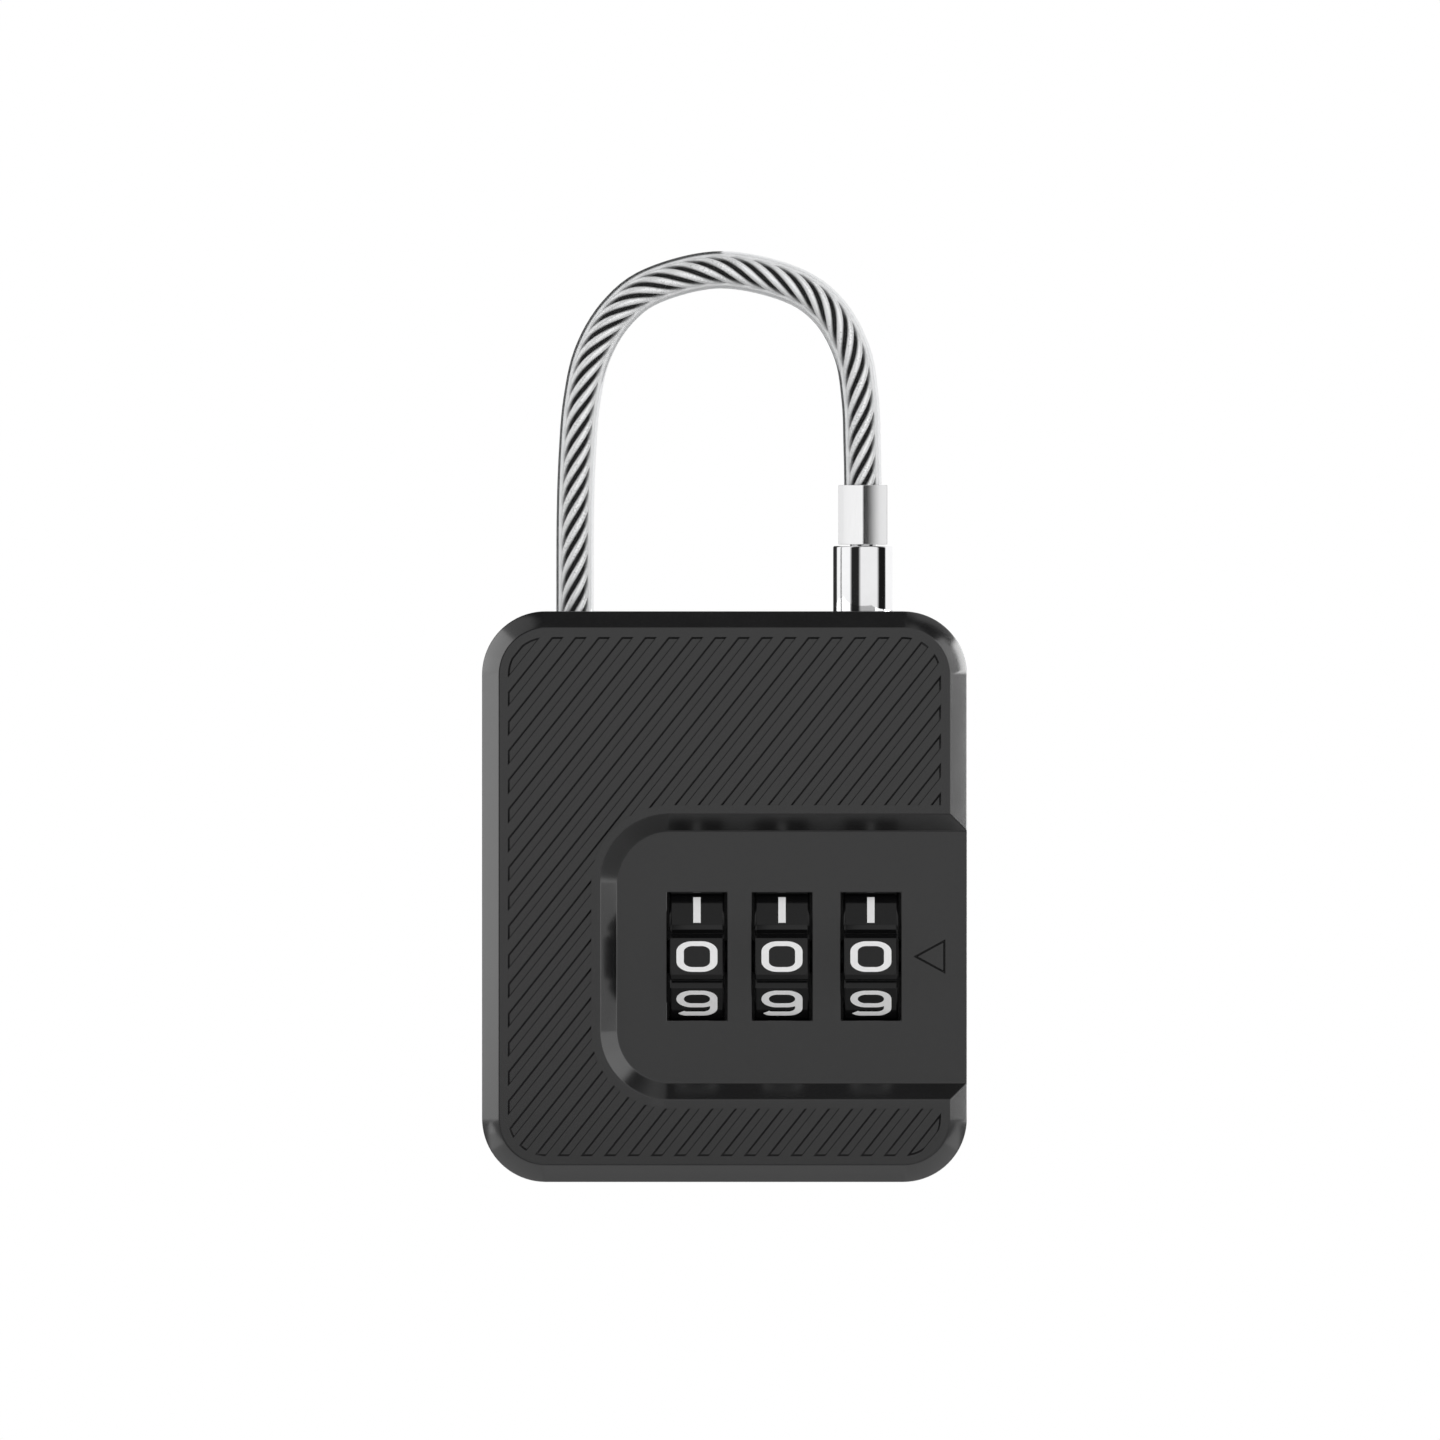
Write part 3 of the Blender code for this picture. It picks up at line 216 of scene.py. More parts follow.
SCREW_CENTRES = [(side * 12.3 * MM, height * MM) for height in (3.0, 32.9) for side in (-1, 1)]
CARRIAGE_SCREW_CENTRES = ((5.9 * MM, 23.0 * MM), (-7.0 * MM, 8.9 * MM))

# Finishes, as what grained() is told for each
FINISHES = {
    "black_paint": dict(
        colour=(0.006, 0.006, 0.0062), metallic=0.0, roughness=0.19, grain=0.16 * MM,
        roughness_spread=0.02, bump=0.001 * MM, specular=0.6),
    "wheel_black": dict(
        colour=(0.004, 0.004, 0.0042), metallic=0.0, roughness=0.16, grain=0.2 * MM,
        roughness_spread=0.03, bump=0.002 * MM, specular=0.33),
    "numeral_white": dict(
        colour=(0.85, 0.85, 0.85), metallic=0.0, roughness=0.45, grain=0.15 * MM,
        colour_spread=0.02, bump=0.003 * MM),
    "chrome": dict(
        colour=(0.92, 0.92, 0.93), roughness=0.05, grain=0.5 * MM,
        colour_spread=0.02, roughness_spread=0.02, bump=0),
    "satin_aluminium": dict(
        colour=(0.9, 0.9, 0.905), roughness=0.15, grain=0.12 * MM, stretch=(1, 1, 0.1),
        colour_spread=0.04, roughness_spread=0.03, bump=0.0005 * MM),
    "satin_steel": dict(
        colour=(0.6, 0.6, 0.61), roughness=0.25, grain=0.1 * MM, stretch=(1, 1, 6),
        bump=0.004 * MM),
    # Near-black that stands in for painted shade on the code hubs and latch spindle beside the
    # wheels
    "shade_black_steel": dict(
        colour=(0.015, 0.015, 0.016), metallic=0.0, roughness=0.5, grain=0.2 * MM),
    "dark_steel": dict(
        colour=(0.11, 0.11, 0.115), roughness=0.33, grain=0.12 * MM, bump=0.005 * MM),
    "spring_steel": dict(colour=(0.5, 0.5, 0.52), roughness=0.28, grain=0.15 * MM),
    "cast_zinc": dict(
        colour=(0.42, 0.42, 0.43), roughness=0.42, grain=0.25 * MM, bump=0.01 * MM),
    "brass": dict(
        colour=(0.72, 0.52, 0.22), roughness=0.3, grain=0.15 * MM, stretch=(6, 1, 1),
        colour_spread=0.1),
}
# Colour of the painted shade in the valleys between the rope's strands
VALLEY_SHADE = (0.002, 0.002, 0.002, 1)
NOISE_RANGE = (0.3, 0.7)
BROAD_NOISE_SCALE = 0.07
BROAD_NOISE_SHARE = 0.45
RELIEF_STRENGTH = 0.35
# How the names of the nodes with each finish start
NODE_FINISHES = {
    "black_paint": ("front_shell", "rear_cover"),
    "wheel_black": ("number_wheel",),
    # Code hubs and latch spindle are painted black as painted shade in the gaps beside the wheels
    "shade_black_steel": ("code_hub", "latch_spindle"),
    "cast_zinc": ("dial_carriage",),
    "brass": ("socket_sleeve",),
    "chrome": ("plug_collar",),
    "satin_aluminium": ("crimp_ferrule",),
    "satin_steel": (
        "carriage_screw", "detent_rivet", "anchor_ferrule", "latch_plate", "reset_pin", "plug_pin"),
    "dark_steel": ("rear_screw",),
    "spring_steel": ("detent_spring", "latch_spring", "reset_spring", "spindle_clip"),
    "bright_wire": ("steel_cable",),
}

# Brightness around the lock, in degrees from straight in front, positive to the right
PANELS = (
    (-180, 0.03), (-124, 0.03), (-119, 1.0), (-53, 1.0), (-44, 0.02), (-17, 0.02),
    (-7, 0.9), (56, 0.9), (66, 0.01), (96, 0.01), (101, 1.0), (180, 1.0),
)
# The same by height, from straight down to straight up
HEIGHTS = ((-1, 0.6), (0.0, 1.0), (0.5, 1.0), (0.8, 0.8), (0.96, 0.75), (0.99, 0.15), (1, 0.08))
# Lights that only the body catches: at its sides, as (x, y, width, height, radiance),
# and along the floor, as (x, width, radiance)
SOFTBOXES = (
    (-0.3, -0.015, 0.45, 0.2, 2.2),
    (-0.3, -0.015, 0.45, 0.6, 2.0),
    (0.3, -0.115, 0.22, 0.2, 2.1),
    (0.3, -0.115, 0.22, 0.6, 2.3),
    (0.3, 0.115, 0.22, 0.4, 8.5),
)
UNDERLIGHTS = (
    (0, 36 * MM, 0.72),
    (-22 * MM, 8 * MM, 1.4),
    (-56 * MM, 60 * MM, 2.6),
    (52 * MM, 68 * MM, 1.2),
)
UNDERLIGHT_DEPTH = 3.2 * MM
FLOOR_REACH = 0.25
FLOOR_DROP = 0.02 * MM

# View
VIEW_WIDTH = 90.58 * MM
VIEW_CENTRE = Vector((-0.28 * MM, 0, 29.06 * MM))
CAMERA_DISTANCE = 0.6


# ---------------- mesh helpers

def mesh_object(name, mesh):
    piece = bpy.data.objects.new(name, mesh)
    bpy.context.scene.collection.objects.link(piece)
    return piece


def solid(name, bm):
    """Object from closed faces, which are turned outwards."""
    bmesh.ops.recalc_face_normals(bm, faces=bm.faces)
    mesh = bpy.data.meshes.new(name)
    bm.to_mesh(mesh)
    bm.free()
    return mesh_object(name, mesh)


def sweep(bm, rings, closed=False):
    """Skin over rings with equal point counts, capped at its ends or joined into a loop."""
    loops = [[bm.verts.new(point) for point in ring] for ring in rings]
    count = len(loops[0])
    pairs = list(zip(loops, loops[1:]))
    if closed:
        pairs.append((loops[-1], loops[0]))
    for lower, upper in pairs:
        for i in range(count):
            j = (i + 1) % count
            bm.faces.new((lower[i], lower[j], upper[j], upper[i]))
    if not closed:
        bm.faces.new(loops[0])
        bm.faces.new(loops[-1])


def loft(name, rings, closed=False):
    bm = bmesh.new()
    sweep(bm, rings, closed)
    return solid(name, bm)


def stack(name, *layers):
    """Solid through outlines, given as (outline, y)."""
    return loft(name, [[(x, y, z) for x, z in outline] for outline, y in layers])


def plate(name, outline, front_y, back_y):
    return stack(name, (outline, front_y), (outline, back_y))


def block(name, low, high):
    corners = [(low[0], low[2]), (high[0], low[2]), (high[0], high[2]), (low[0], high[2])]
    return plate(name, corners, low[1], high[1])


def turned(name, profile, steps=96, closed=False, axis="Z", centre=(0, 0, 0)):
    """Solid of revolution from (radius, height) points, about an axis through the centre."""
    bm = bmesh.new()
    loops = []
    for radius, height in profile:
        if radius == 0:
            loops.append([bm.verts.new((0, 0, height))] * steps)
            continue
        angles = [2 * math.pi * i / steps for i in range(steps)]
        ring = [(radius * math.cos(a), radius * math.sin(a), height) for a in angles]
        loops.append([bm.verts.new(point) for point in ring])
    pairs = list(zip(loops, loops[1:]))
    if closed:
        pairs.append((loops[-1], loops[0]))
    for lower, upper in pairs:
        for i in range(steps):
            j = (i + 1) % steps
            corners = [lower[i], lower[j], upper[j], upper[i]]
            bm.faces.new(list(dict.fromkeys(corners)))
    turns = {"X": Matrix.Rotation(math.pi / 2, 4, "Y"), "Y": Matrix.Rotation(-math.pi / 2, 4, "X")}
    matrix = Matrix.Translation(centre) @ turns.get(axis, Matrix.Identity(4))
    bmesh.ops.transform(bm, matrix=matrix, verts=bm.verts)
    return solid(name, bm)


def rod(name, radius, start, end, axis, centre, steps=64):
    profile = [(0, start), (radius, start), (radius, end), (0, end)]
    return turned(name, profile, steps, axis=axis, centre=centre)


def stepped_rod(name, sections, axis, centre, steps=64):
    """Solid of stacked cylinders, given as (radius, end) from the first section's start."""
    start = sections[0][1]
    profile = [(0, start)]
    for (radius, end), (_, previous_end) in zip(sections[1:], sections):
        profile += [(radius, previous_end), (radius, end)]
    profile.append((0, profile[-1][1]))
    return turned(name, profile, steps, axis=axis, centre=centre)


def apply_modifiers(piece):
    graph = bpy.context.evaluated_depsgraph_get()
    mesh = bpy.data.meshes.new_from_object(piece.evaluated_get(graph))
    piece.modifiers.clear()
    piece.data = mesh


def combine(piece, operation, tools):
    for tool in tools:
        modifier = piece.modifiers.new(tool.name, "BOOLEAN")
        modifier.operation = operation
        modifier.solver = "EXACT"
        modifier.object = tool
    apply_modifiers(piece)
    for tool in tools:
        bpy.data.objects.remove(tool, do_unlink=True)


def cut(piece, *tools):
    combine(piece, "DIFFERENCE", tools)


def join(piece, *tools):
    combine(piece, "UNION", tools)


def soften(piece, width, segments=2, angle=28):
    """Rounds every sharp edge a little, so that it catches the light."""
    modifier = piece.modifiers.new("soft_edges", "BEVEL")
    modifier.width = width
    modifier.segments = segments
    modifier.limit_method = "ANGLE"
    modifier.angle_limit = math.radians(angle)
    apply_modifiers(piece)


def shade(piece, angle=32):
    """Smooth over the softened edges, with broad faces kept flat."""
    piece.data.shade_smooth()
    piece.data.set_sharp_from_angle(angle=math.radians(angle))
    modifier = piece.modifiers.new("broad_faces", "WEIGHTED_NORMAL")
    modifier.keep_sharp = True
    apply_modifiers(piece)
    return piece


def arc(centre, radius, start, end, steps=10):
    """Points on a circle, from one direction to another in degrees."""
    points = []
    for i in range(steps + 1):
        angle = math.radians(start + (end - start) * i / steps)
        points.append((centre[0] + radius * math.cos(angle), centre[1] + radius * math.sin(angle)))
    return points


def circle(centre, across, up, radius, sides):
    angles = [2 * math.pi * k / sides for k in range(sides)]
    return [centre + (across * math.cos(a) + up * math.sin(a)) * radius for a in angles]


def body_outline(inset):
    """Rounded outline of the body, moved in by the inset."""
    half = BODY_WIDTH / 2 - CORNER_RADIUS
    low = CORNER_RADIUS
    high = BODY_HEIGHT - CORNER_RADIUS
    points = []
    for number, corner in enumerate(((half, high), (-half, high), (-half, low), (half, low))):
        start = 90 * number
        points += arc(corner, CORNER_RADIUS - inset, start, start + 90, CORNER_STEPS)
    return points


def panel_outline(grow):
    """Outline of the dial panel, moved out to grow; it runs past the body's right side."""
    radius = PANEL_CORNER_RADIUS + grow
    left = PANEL_LEFT + PANEL_CORNER_RADIUS
    right = BODY_RIGHT + 2 * MM
    top = arc((left, PANEL_TOP - PANEL_CORNER_RADIUS), radius, 90, 180, CORNER_STEPS)
    bottom = arc((left, PANEL_BOTTOM + PANEL_CORNER_RADIUS), radius, 180, 270, CORNER_STEPS)
    return [(right, PANEL_TOP + grow), *top, *bottom, (right, PANEL_BOTTOM - grow)]


# ---------------- camera and cable

def make_camera():
    data = bpy.data.cameras.new("camera")
    data.type = "ORTHO"
    data.ortho_scale = VIEW_WIDTH
    data.clip_start = 0.01
    data.clip_end = 10
    camera = bpy.data.objects.new("camera", data)
    camera.location = VIEW_CENTRE - Vector((0, CAMERA_DISTANCE, 0))
    camera.rotation_euler = (math.radians(90), 0, 0)
    bpy.context.scene.collection.objects.link(camera)
    bpy.context.scene.camera = camera


def smooth_route(spacing):
    """Evenly spaced points on a Catmull-Rom curve through the cable's route."""
    points = [Vector((x, 0, z)) for x, z in CABLE_ROUTE]
    padded = [2 * points[0] - points[1], *points, 2 * points[-1] - points[-2]]
    steps = 48
    fine = []
    for before, start, end, after in zip(padded, padded[1:], padded[2:], padded[3:]):
        for step in range(steps):
            t = step / steps
            along = (end - before) * t
            bend = (2 * before - 5 * start + 4 * end - after) * t ** 2
            twist = (3 * start - before - 3 * end + after) * t ** 3
            fine.append(start + (along + bend + twist) / 2)
    fine.append(points[-1])
    length = sum((b - a).length for a, b in zip(fine, fine[1:]))
    count = round(length / spacing)
    targets = [length * i / count for i in range(count)]
    spaced = []
    travelled = 0.0
    for a, b in zip(fine, fine[1:]):
        step = (b - a).length
        while targets and targets[0] <= travelled + step:
            spaced.append(a.lerp(b, (targets.pop(0) - travelled) / step))
        travelled += step
    spaced.append(points[-1])
    return spaced, length


def route_frames(points):
    """At each point, the direction across the route in its own plane."""
    across = []
    for i in range(len(points)):
        before = points[max(i - 1, 0)]
        after = points[min(i + 1, len(points) - 1)]
        tangent = (after - before).normalized()
        across.append(Vector((tangent.z, 0, -tangent.x)))
    return across


def strand_rings(points, across, length, phase, centre_radius):
    """Rings of one pressed strand, and how deep in the valleys each of their points lies."""
    rings = []
    depths = []
    for i, (point, side) in enumerate(zip(points, across)):
        travelled = length * i / (len(points) - 1)
        lay = 2 * math.pi * travelled / STRAND_LAY + phase
        twist = -2 * math.pi * travelled / WIRE_LAY
        centre = point + (side * math.cos(lay) + BACK * math.sin(lay)) * centre_radius
        ring = []
        for k in range(STRAND_SIDES):
            angle = 2 * math.pi * k / STRAND_SIDES
            radius = STRAND_RADIUS - WIRE_RIDGE * math.sin(3 * (angle - twist)) ** 2
            ring.append(centre + (side * math.cos(angle) + BACK * math.sin(angle)) * radius)
            outward = math.cos(angle - lay) if centre_radius else -1.0
            depth = (VALLEY_TOP - outward) / (VALLEY_TOP - VALLEY_BOTTOM)
            depths.append(min(1.0, max(0.0, depth)))
        rings.append(ring)
    return rings, depths


def make_rope(points, across, length):
    """Six strands laid right-handed around a seventh, with painted shade in the valleys between
    them.
    """
    bm = bmesh.new()
    depths = []
    phases = [2 * math.pi * number / STRAND_COUNT for number in range(STRAND_COUNT)]
    outer = [(phase, STRAND_CENTRE_RADIUS) for phase in phases]
    for phase, centre_radius in (*outer, (0, 0)):
        rings, strand_depths = strand_rings(points, across, length, phase, centre_radius)
        sweep(bm, rings)
        depths += strand_depths
    rope = solid("wire_rope", bm)
    rope.data.attributes.new("valley", "FLOAT", "POINT").data.foreach_set("value", depths)
    return rope


def make_cable():
    """Rope in a clear coat that is moulded onto it."""
    fine, length = smooth_route(ROPE_SPACING)
    rope = make_rope(fine, route_frames(fine), length)
    coarse, _ = smooth_route(COAT_SPACING)
    rings = []
    for point, side in zip(coarse, route_frames(coarse)):
        rings.append(circle(point, side, BACK, CABLE_RADIUS, COAT_SIDES))
    coat = loft("clear_coat", rings)
    for piece in (rope, coat):
        piece.data.shade_smooth()
        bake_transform(piece)
        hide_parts("steel_cable")
    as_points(coarse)
    return rope, coat


# ---------------- materials

def node_material(name):
    material = bpy.data.materials.new(name)
    material.use_nodes = True
    tree = material.node_tree
    return material, tree, tree.nodes["Principled BSDF"]


def feed(tree, node, inputs):
    """Sets inputs, by name or number, to values or to the outputs of other nodes."""
    for key, value in inputs.items():
        if isinstance(value, bpy.types.NodeSocket):
            tree.links.new(value, node.inputs[key])
        else:
            node.inputs[key].default_value = value


def add_node(tree, kind, inputs=None, **settings):
    node = tree.nodes.new(f"ShaderNode{kind}")
    for name, value in settings.items():
        setattr(node, name, value)
    feed(tree, node, inputs or {})
    return node


def add_noise(tree, place, scale, detail):
    inputs = {"Vector": place, "Scale": scale, "Detail": detail}
    return add_node(tree, "TexNoise", inputs).outputs["Fac"]


def add_range(tree, value, start, end, low, high):
    """Goes from low to high while the value goes from start to end."""
    inputs = {"Value": value, "From Min": start, "From Max": end, "To Min": low, "To Max": high}
    return add_node(tree, "MapRange", inputs).outputs["Result"]


def add_ramp(tree, value, stops):
    """Colour ramp through (position, colour) stops."""
    ramp = add_node(tree, "ValToRGB", {"Fac": value})
    elements = ramp.color_ramp.elements
    while len(elements) < len(stops):
        elements.new(0.5)
    for element, (position, colour) in zip(elements, stops):
        element.position = position
        element.color = (*colour, 1)
    return ramp.outputs["Color"]


def mix_colours(tree, factor, first, second, blend_type="MIX"):
    """Mixes two colours; a Mix node takes colours in its inputs 6 and 7 and gives output 2."""
    inputs = {0: factor, 6: first, 7: second}
    return add_node(tree, "Mix", inputs, data_type="RGBA", blend_type=blend_type).outputs[2]


def grained(name, colour, roughness, grain, metallic=1.0, stretch=(1, 1, 1), colour_spread=0.12,
            roughness_spread=0.08, bump=0.02 * MM, specular=0.5):
    """Surface whose colour, gloss and relief vary in object space at the size of its grain."""
    material, tree, shader = node_material(name)
    place = add_node(tree, "TexCoord").outputs["Object"]
    scale = [s / grain for s in stretch]
    place = add_node(tree, "Mapping", {"Vector": place, "Scale": scale}).outputs["Vector"]
    fine = add_noise(tree, place, scale=1.0, detail=3.0)
    broad = add_noise(tree, place, scale=BROAD_NOISE_SCALE, detail=2.0)
    inputs = {"Factor": BROAD_NOISE_SHARE, 2: fine, 3: broad}
    blend = add_node(tree, "Mix", inputs).outputs[0]
    dark = [c * (1 - colour_spread) for c in colour]
    light = [min(1.0, c * (1 + colour_spread)) for c in colour]
    low, high = NOISE_RANGE
    feed(tree, shader, {
        "Base Color": add_ramp(tree, blend, ((low, dark), (high, light))),
        "Metallic": metallic,
        "Roughness": add_range(
            tree, blend, low, high, roughness - roughness_spread, roughness + roughness_spread),
        "Specular IOR Level": specular,
    })
    if bump:
        inputs = {"Strength": RELIEF_STRENGTH, "Distance": bump, "Height": fine}
        relief = add_node(tree, "Bump", inputs)
        feed(tree, shader, {"Normal": relief.outputs["Normal"]})
    return material


def clear_plastic():
    """Water-clear vinyl with faint haze, bright and opaque towards its rim."""
    material, tree, shader = node_material("clear_vinyl")
    place = add_node(tree, "TexCoord").outputs["Object"]
    haze = add_noise(tree, place, scale=1 / (1.5 * MM), detail=2.0)
    facing = add_node(tree, "LayerWeight", {"Blend": 0.5}).outputs["Facing"]
    feed(tree, shader, {
        "Base Color": (0.9, 0.91, 0.92, 1),
        "Metallic": add_range(tree, facing, 0.42, 0.54, 0.0, 1.0),
        "Roughness": add_range(tree, haze, 0.0, 1.0, 0.03, 0.14),
        "IOR": 1.5,
        "Alpha": add_range(tree, facing, 0.12, 0.55, 0.02, 0.82),
    })
    return material


def wire_with_painted_shade():
    """Bright steel with painted shade that darkens it into the valleys between strands."""
    material = grained(
        "bright_wire", colour=(0.95, 0.955, 0.96), metallic=0.3, roughness=0.3, grain=0.12 * MM,
        colour_spread=0.05, bump=0.002 * MM)
    tree = material.node_tree
    colour = tree.nodes["Principled BSDF"].inputs["Base Color"]
    valley = add_node(tree, "Attribute", attribute_name="valley").outputs["Fac"]
    # Painted shade: the wire's colour darkens towards the valley shade colour as the valley depth
    # grows
    tree.links.new(mix_colours(tree, valley, colour.links[0].from_socket, VALLEY_SHADE), colour)
    return material


MATERIALS = {}


def make_materials():
    MATERIALS["bright_wire"] = wire_with_painted_shade()
    MATERIALS["clear_vinyl"] = clear_plastic()
    for name, finish in FINISHES.items():
        MATERIALS[name] = grained(name, **finish)


def paint(piece, material):
    piece.data.materials.clear()
    piece.data.materials.append(material)


# ---------------- body

def rib_grooves():
    """Slanting shallow grooves, clipped to the front face and kept clear of the dial panel."""
    above = 0.5 * MM
    floor_y = FRONT_Y + RIB_DEPTH
    inset = FRONT_CHAMFER + RIB_MARGIN
    field = stack(
        "rib_field",
        (body_outline(inset), FRONT_Y - above),
        (body_outline(inset), FRONT_Y),
        (body_outline(inset + RIB_UPPER_SLOPE), floor_y),
    )
    border = plate("rib_border", panel_outline(inset), FRONT_Y - 2 * above, floor_y + above)
    cut(field, border)
    combine(field, "INTERSECT", [rib_bars(above)])
    return field


def rib_bars(above):
    """Bars whose sides lean in towards the grooves' floors, the upper one more."""
    bm = bmesh.new()
    reach = Vector((math.cos(RIB_ANGLE), 0, math.sin(RIB_ANGLE))) * RIB_HALF_LENGTH
    across = Vector((math.sin(RIB_ANGLE), 0, -math.cos(RIB_ANGLE)))
    upper = -across * RIB_WIDTH / 2
    upper_floor = upper + across * RIB_UPPER_SLOPE
    lower = across * RIB_WIDTH / 2
    lower_floor = lower - across * RIB_LOWER_SLOPE
    floor_y = FRONT_Y + RIB_DEPTH
    section = (
        (upper, FRONT_Y - MM),
        (upper, FRONT_Y),
        (upper_floor, floor_y),
        (upper_floor, FRONT_Y + above),
        (lower_floor, FRONT_Y + above),
        (lower_floor, floor_y),
        (lower, FRONT_Y),
        (lower, FRONT_Y - MM),
    )
    last = math.ceil((BODY_WIDTH + BODY_HEIGHT / math.tan(RIB_ANGLE)) / RIB_PITCH_X)
    for number in range(-1, last):
        start = Vector((RIB_START_X + number * RIB_PITCH_X, 0, RIB_START_Z))
        ends = (start - reach, start + reach)
        sweep(bm, [[(end.x + side.x, y, end.z + side.z) for side, y in section] for end in ends])
    return solid("rib_bars", bm)


def triangle_groove():
    """V groove along the outline of a triangle that points at the reading line of the wheels."""
    def outline(grow):
        tip_x = MARK_TIP_X - MARK_TIP_SPREAD * grow
        base_x = MARK_BASE_X + grow
        reach = MARK_HALF_HEIGHT + MARK_BASE_SPREAD * grow
        return [(tip_x, DIAL_Z), (base_x, DIAL_Z - reach), (base_x, DIAL_Z + reach)]

    half = MARK_LINE_WIDTH / 2
    floor_half = MARK_FLOOR_WIDTH / 2
    groove = stack(
        "triangle_groove",
        (outline(half), PANEL_Y - MARK_DEPTH),
        (outline(half), PANEL_Y),
        (outline(floor_half), PANEL_Y + MARK_DEPTH),
    )
    cut(groove, stack(
        "triangle_land",
        (outline(-half), PANEL_Y - 2 * MARK_DEPTH),
        (outline(-half), PANEL_Y),
        (outline(-floor_half), PANEL_Y + MARK_DEPTH),
        (outline(-floor_half), PANEL_Y + 2 * MARK_DEPTH),
    ))
    return groove


def dial_window(name, centre):
    """Straight opening that flares above and below towards the inside, clear of the wheel."""
    half = WINDOW_HEIGHT / 2
    rings = []
    for y, reach in (
        (FRONT_Y, half),
        (PANEL_Y + WINDOW_STRAIGHT_DEPTH, half),
        (PANEL_Y + PANEL_WALL + 0.4 * MM, half + WINDOW_FLARE),
    ):
        sides = (centre.x - WINDOW_WIDTH / 2, centre.x + WINDOW_WIDTH / 2)
        corners = ((0, -reach), (1, -reach), (1, reach), (0, reach))
        rings.append([(sides[side], y, centre.z + rise) for side, rise in corners])
    return loft(name, rings)


def make_front_shell():
    over = 0.4 * MM
    shell = stack(
        "front_shell_skin",
        (body_outline(FRONT_CHAMFER), FRONT_Y),
        (body_outline(0), PANEL_Y),
        (body_outline(0), SHELL_REAR_Y),
    )
    cavity = plate("cavity", body_outline(SIDE_WALL), PANEL_Y + PANEL_WALL, REAR_Y)
    recess = stack(
        "panel_recess",
        (panel_outline(FRONT_CHAMFER + over), FRONT_Y - over),
        (panel_outline(0), PANEL_Y),
    )
    windows = [dial_window(f"window_{n}", centre) for n, centre in enumerate(DIAL_CENTRES, 1)]
    cut(shell, cavity, recess, *windows)
    above = BODY_HEIGHT + MM
    inside = BODY_HEIGHT - 2.2 * MM
    plug_sections = (
        (0, inside), (PLUG_BORE_RADIUS, COLLAR_SEAT_Z), (COLLAR_RADIUS + COLLAR_GAP, above))
    reset_sections = (
        (0, RESET_POCKET_LEFT), (RESET_POCKET_RADIUS, RESET_POCKET_RIGHT),
        (RESET_HOLE_RADIUS, BODY_RIGHT + MM))
    cut(
        shell,
        rod("cable_hole", CABLE_RADIUS + 0.1 * MM, inside, above, "Z", (CABLE_ROUTE[0][0], 0, 0)),
        stepped_rod("plug_hole", plug_sections, "Z", (PLUG_X, 0, 0)),
        stepped_rod("reset_hole", reset_sections, "X", (0, RESET_PLACE.y, RESET_PLACE.z)),
    )
    soften(shell, EDGE_WIDTH)
    cut(shell, rib_grooves(), triangle_groove())
    join(shell, *inner_frame())
    return shade(shell, angle=25)


def inner_frame():
    """Bored screw posts, and shelves that seat the cable anchor, the sleeve and the latch."""
    posts = [(centre, SHELL_REAR_Y - 0.1 * MM) for centre in SCREW_CENTRES]
    posts += [(centre, CARRIAGE_POST_TOP) for centre in CARRIAGE_SCREW_CENTRES]

    def bore(name, radius, post, steps):
        (x, z), top = post
        return rod(name, radius, POST_BORE_START, top + MM, "Y", (x, 0, z), steps)

    pieces = []
    for number, post in enumerate(posts, 1):
        (x, z), top = post
        piece = rod(f"post_{number}", POST_RADIUS, SHELF_FRONT, top, "Y", (x, 0, z), 32)
        cut(piece, bore(f"bore_{number}", POST_BORE_RADIUS, post, 20))
        pieces.append(piece)
    for number, (left, right, back, low, high) in enumerate(SHELVES):
        shelf = block(f"shelf_{number}", (left, SHELF_FRONT, low), (right, back, high))
        slots = [u_slot(f"slot_{number}_{i}", *sizes) for i, sizes in enumerate(SHELF_SLOTS)]
        cut(shelf, *slots)
        for post in posts:
            cut(shelf, bore(f"way_{number}", POST_CLEARANCE_RADIUS, post, 28))
        pieces.append(shelf)
    return pieces


def u_slot(name, centre_x, radius, low_z, high_z):
    """Round-ended slot through a shelf, open to the back."""
    outline = [
        (centre_x + radius, SHELL_REAR_Y),
        *arc((centre_x, 0), radius, 0, -180, 24),
        (centre_x - radius, SHELL_REAR_Y),
    ]
    return loft(name, [[(x, y, z) for x, y in outline] for z in (low_z, high_z)])


def screw_rooms(name, radius, front, back):
    """Room around each of the cover's screws."""
    rooms = []
    for number, (x, z) in enumerate(SCREW_CENTRES, 1):
        rooms.append(rod(f"{name}_{number}", radius, front, back, "Y", (x, 0, z), 24))
    return rooms


def make_rear_cover():
    cover = stack(
        "rear_cover_skin",
        (body_outline(0), COVER_FRONT_Y),
        (body_outline(0), REAR_Y - REAR_CHAMFER),
        (body_outline(REAR_CHAMFER), REAR_Y),
    )
    sections = (
        (0, SHELL_REAR_Y), (SCREW_HOLE_RADIUS, SCREW_SEAT_Y), (SCREW_HEAD_HOLE_RADIUS, 7 * MM))
    for number, (x, z) in enumerate(SCREW_CENTRES, 1):
        cut(cover, stepped_rod(f"screw_hole_{number}", sections, "Y", (x, 0, z), 40))
    soften(cover, EDGE_WIDTH)
    join(cover, cover_lip(), seam_step())
    return shade(cover, angle=25)


def cover_lip():
    """Locating lip that reaches forward into the shell, clear of its posts."""
    lip_front = COVER_LOW.y
    outer = SIDE_WALL + LIP_GAP
    lip = plate("lip", body_outline(outer), lip_front, COVER_FRONT_Y + LIP_ROOT)
    span = (lip_front - MM, COVER_FRONT_Y + MM)
    hollow = plate("lip_hollow", body_outline(outer + LIP_WIDTH), *span)
    cut(lip, hollow, *screw_rooms("lip_room", LIP_ROOM_RADIUS, *span))
    return lip


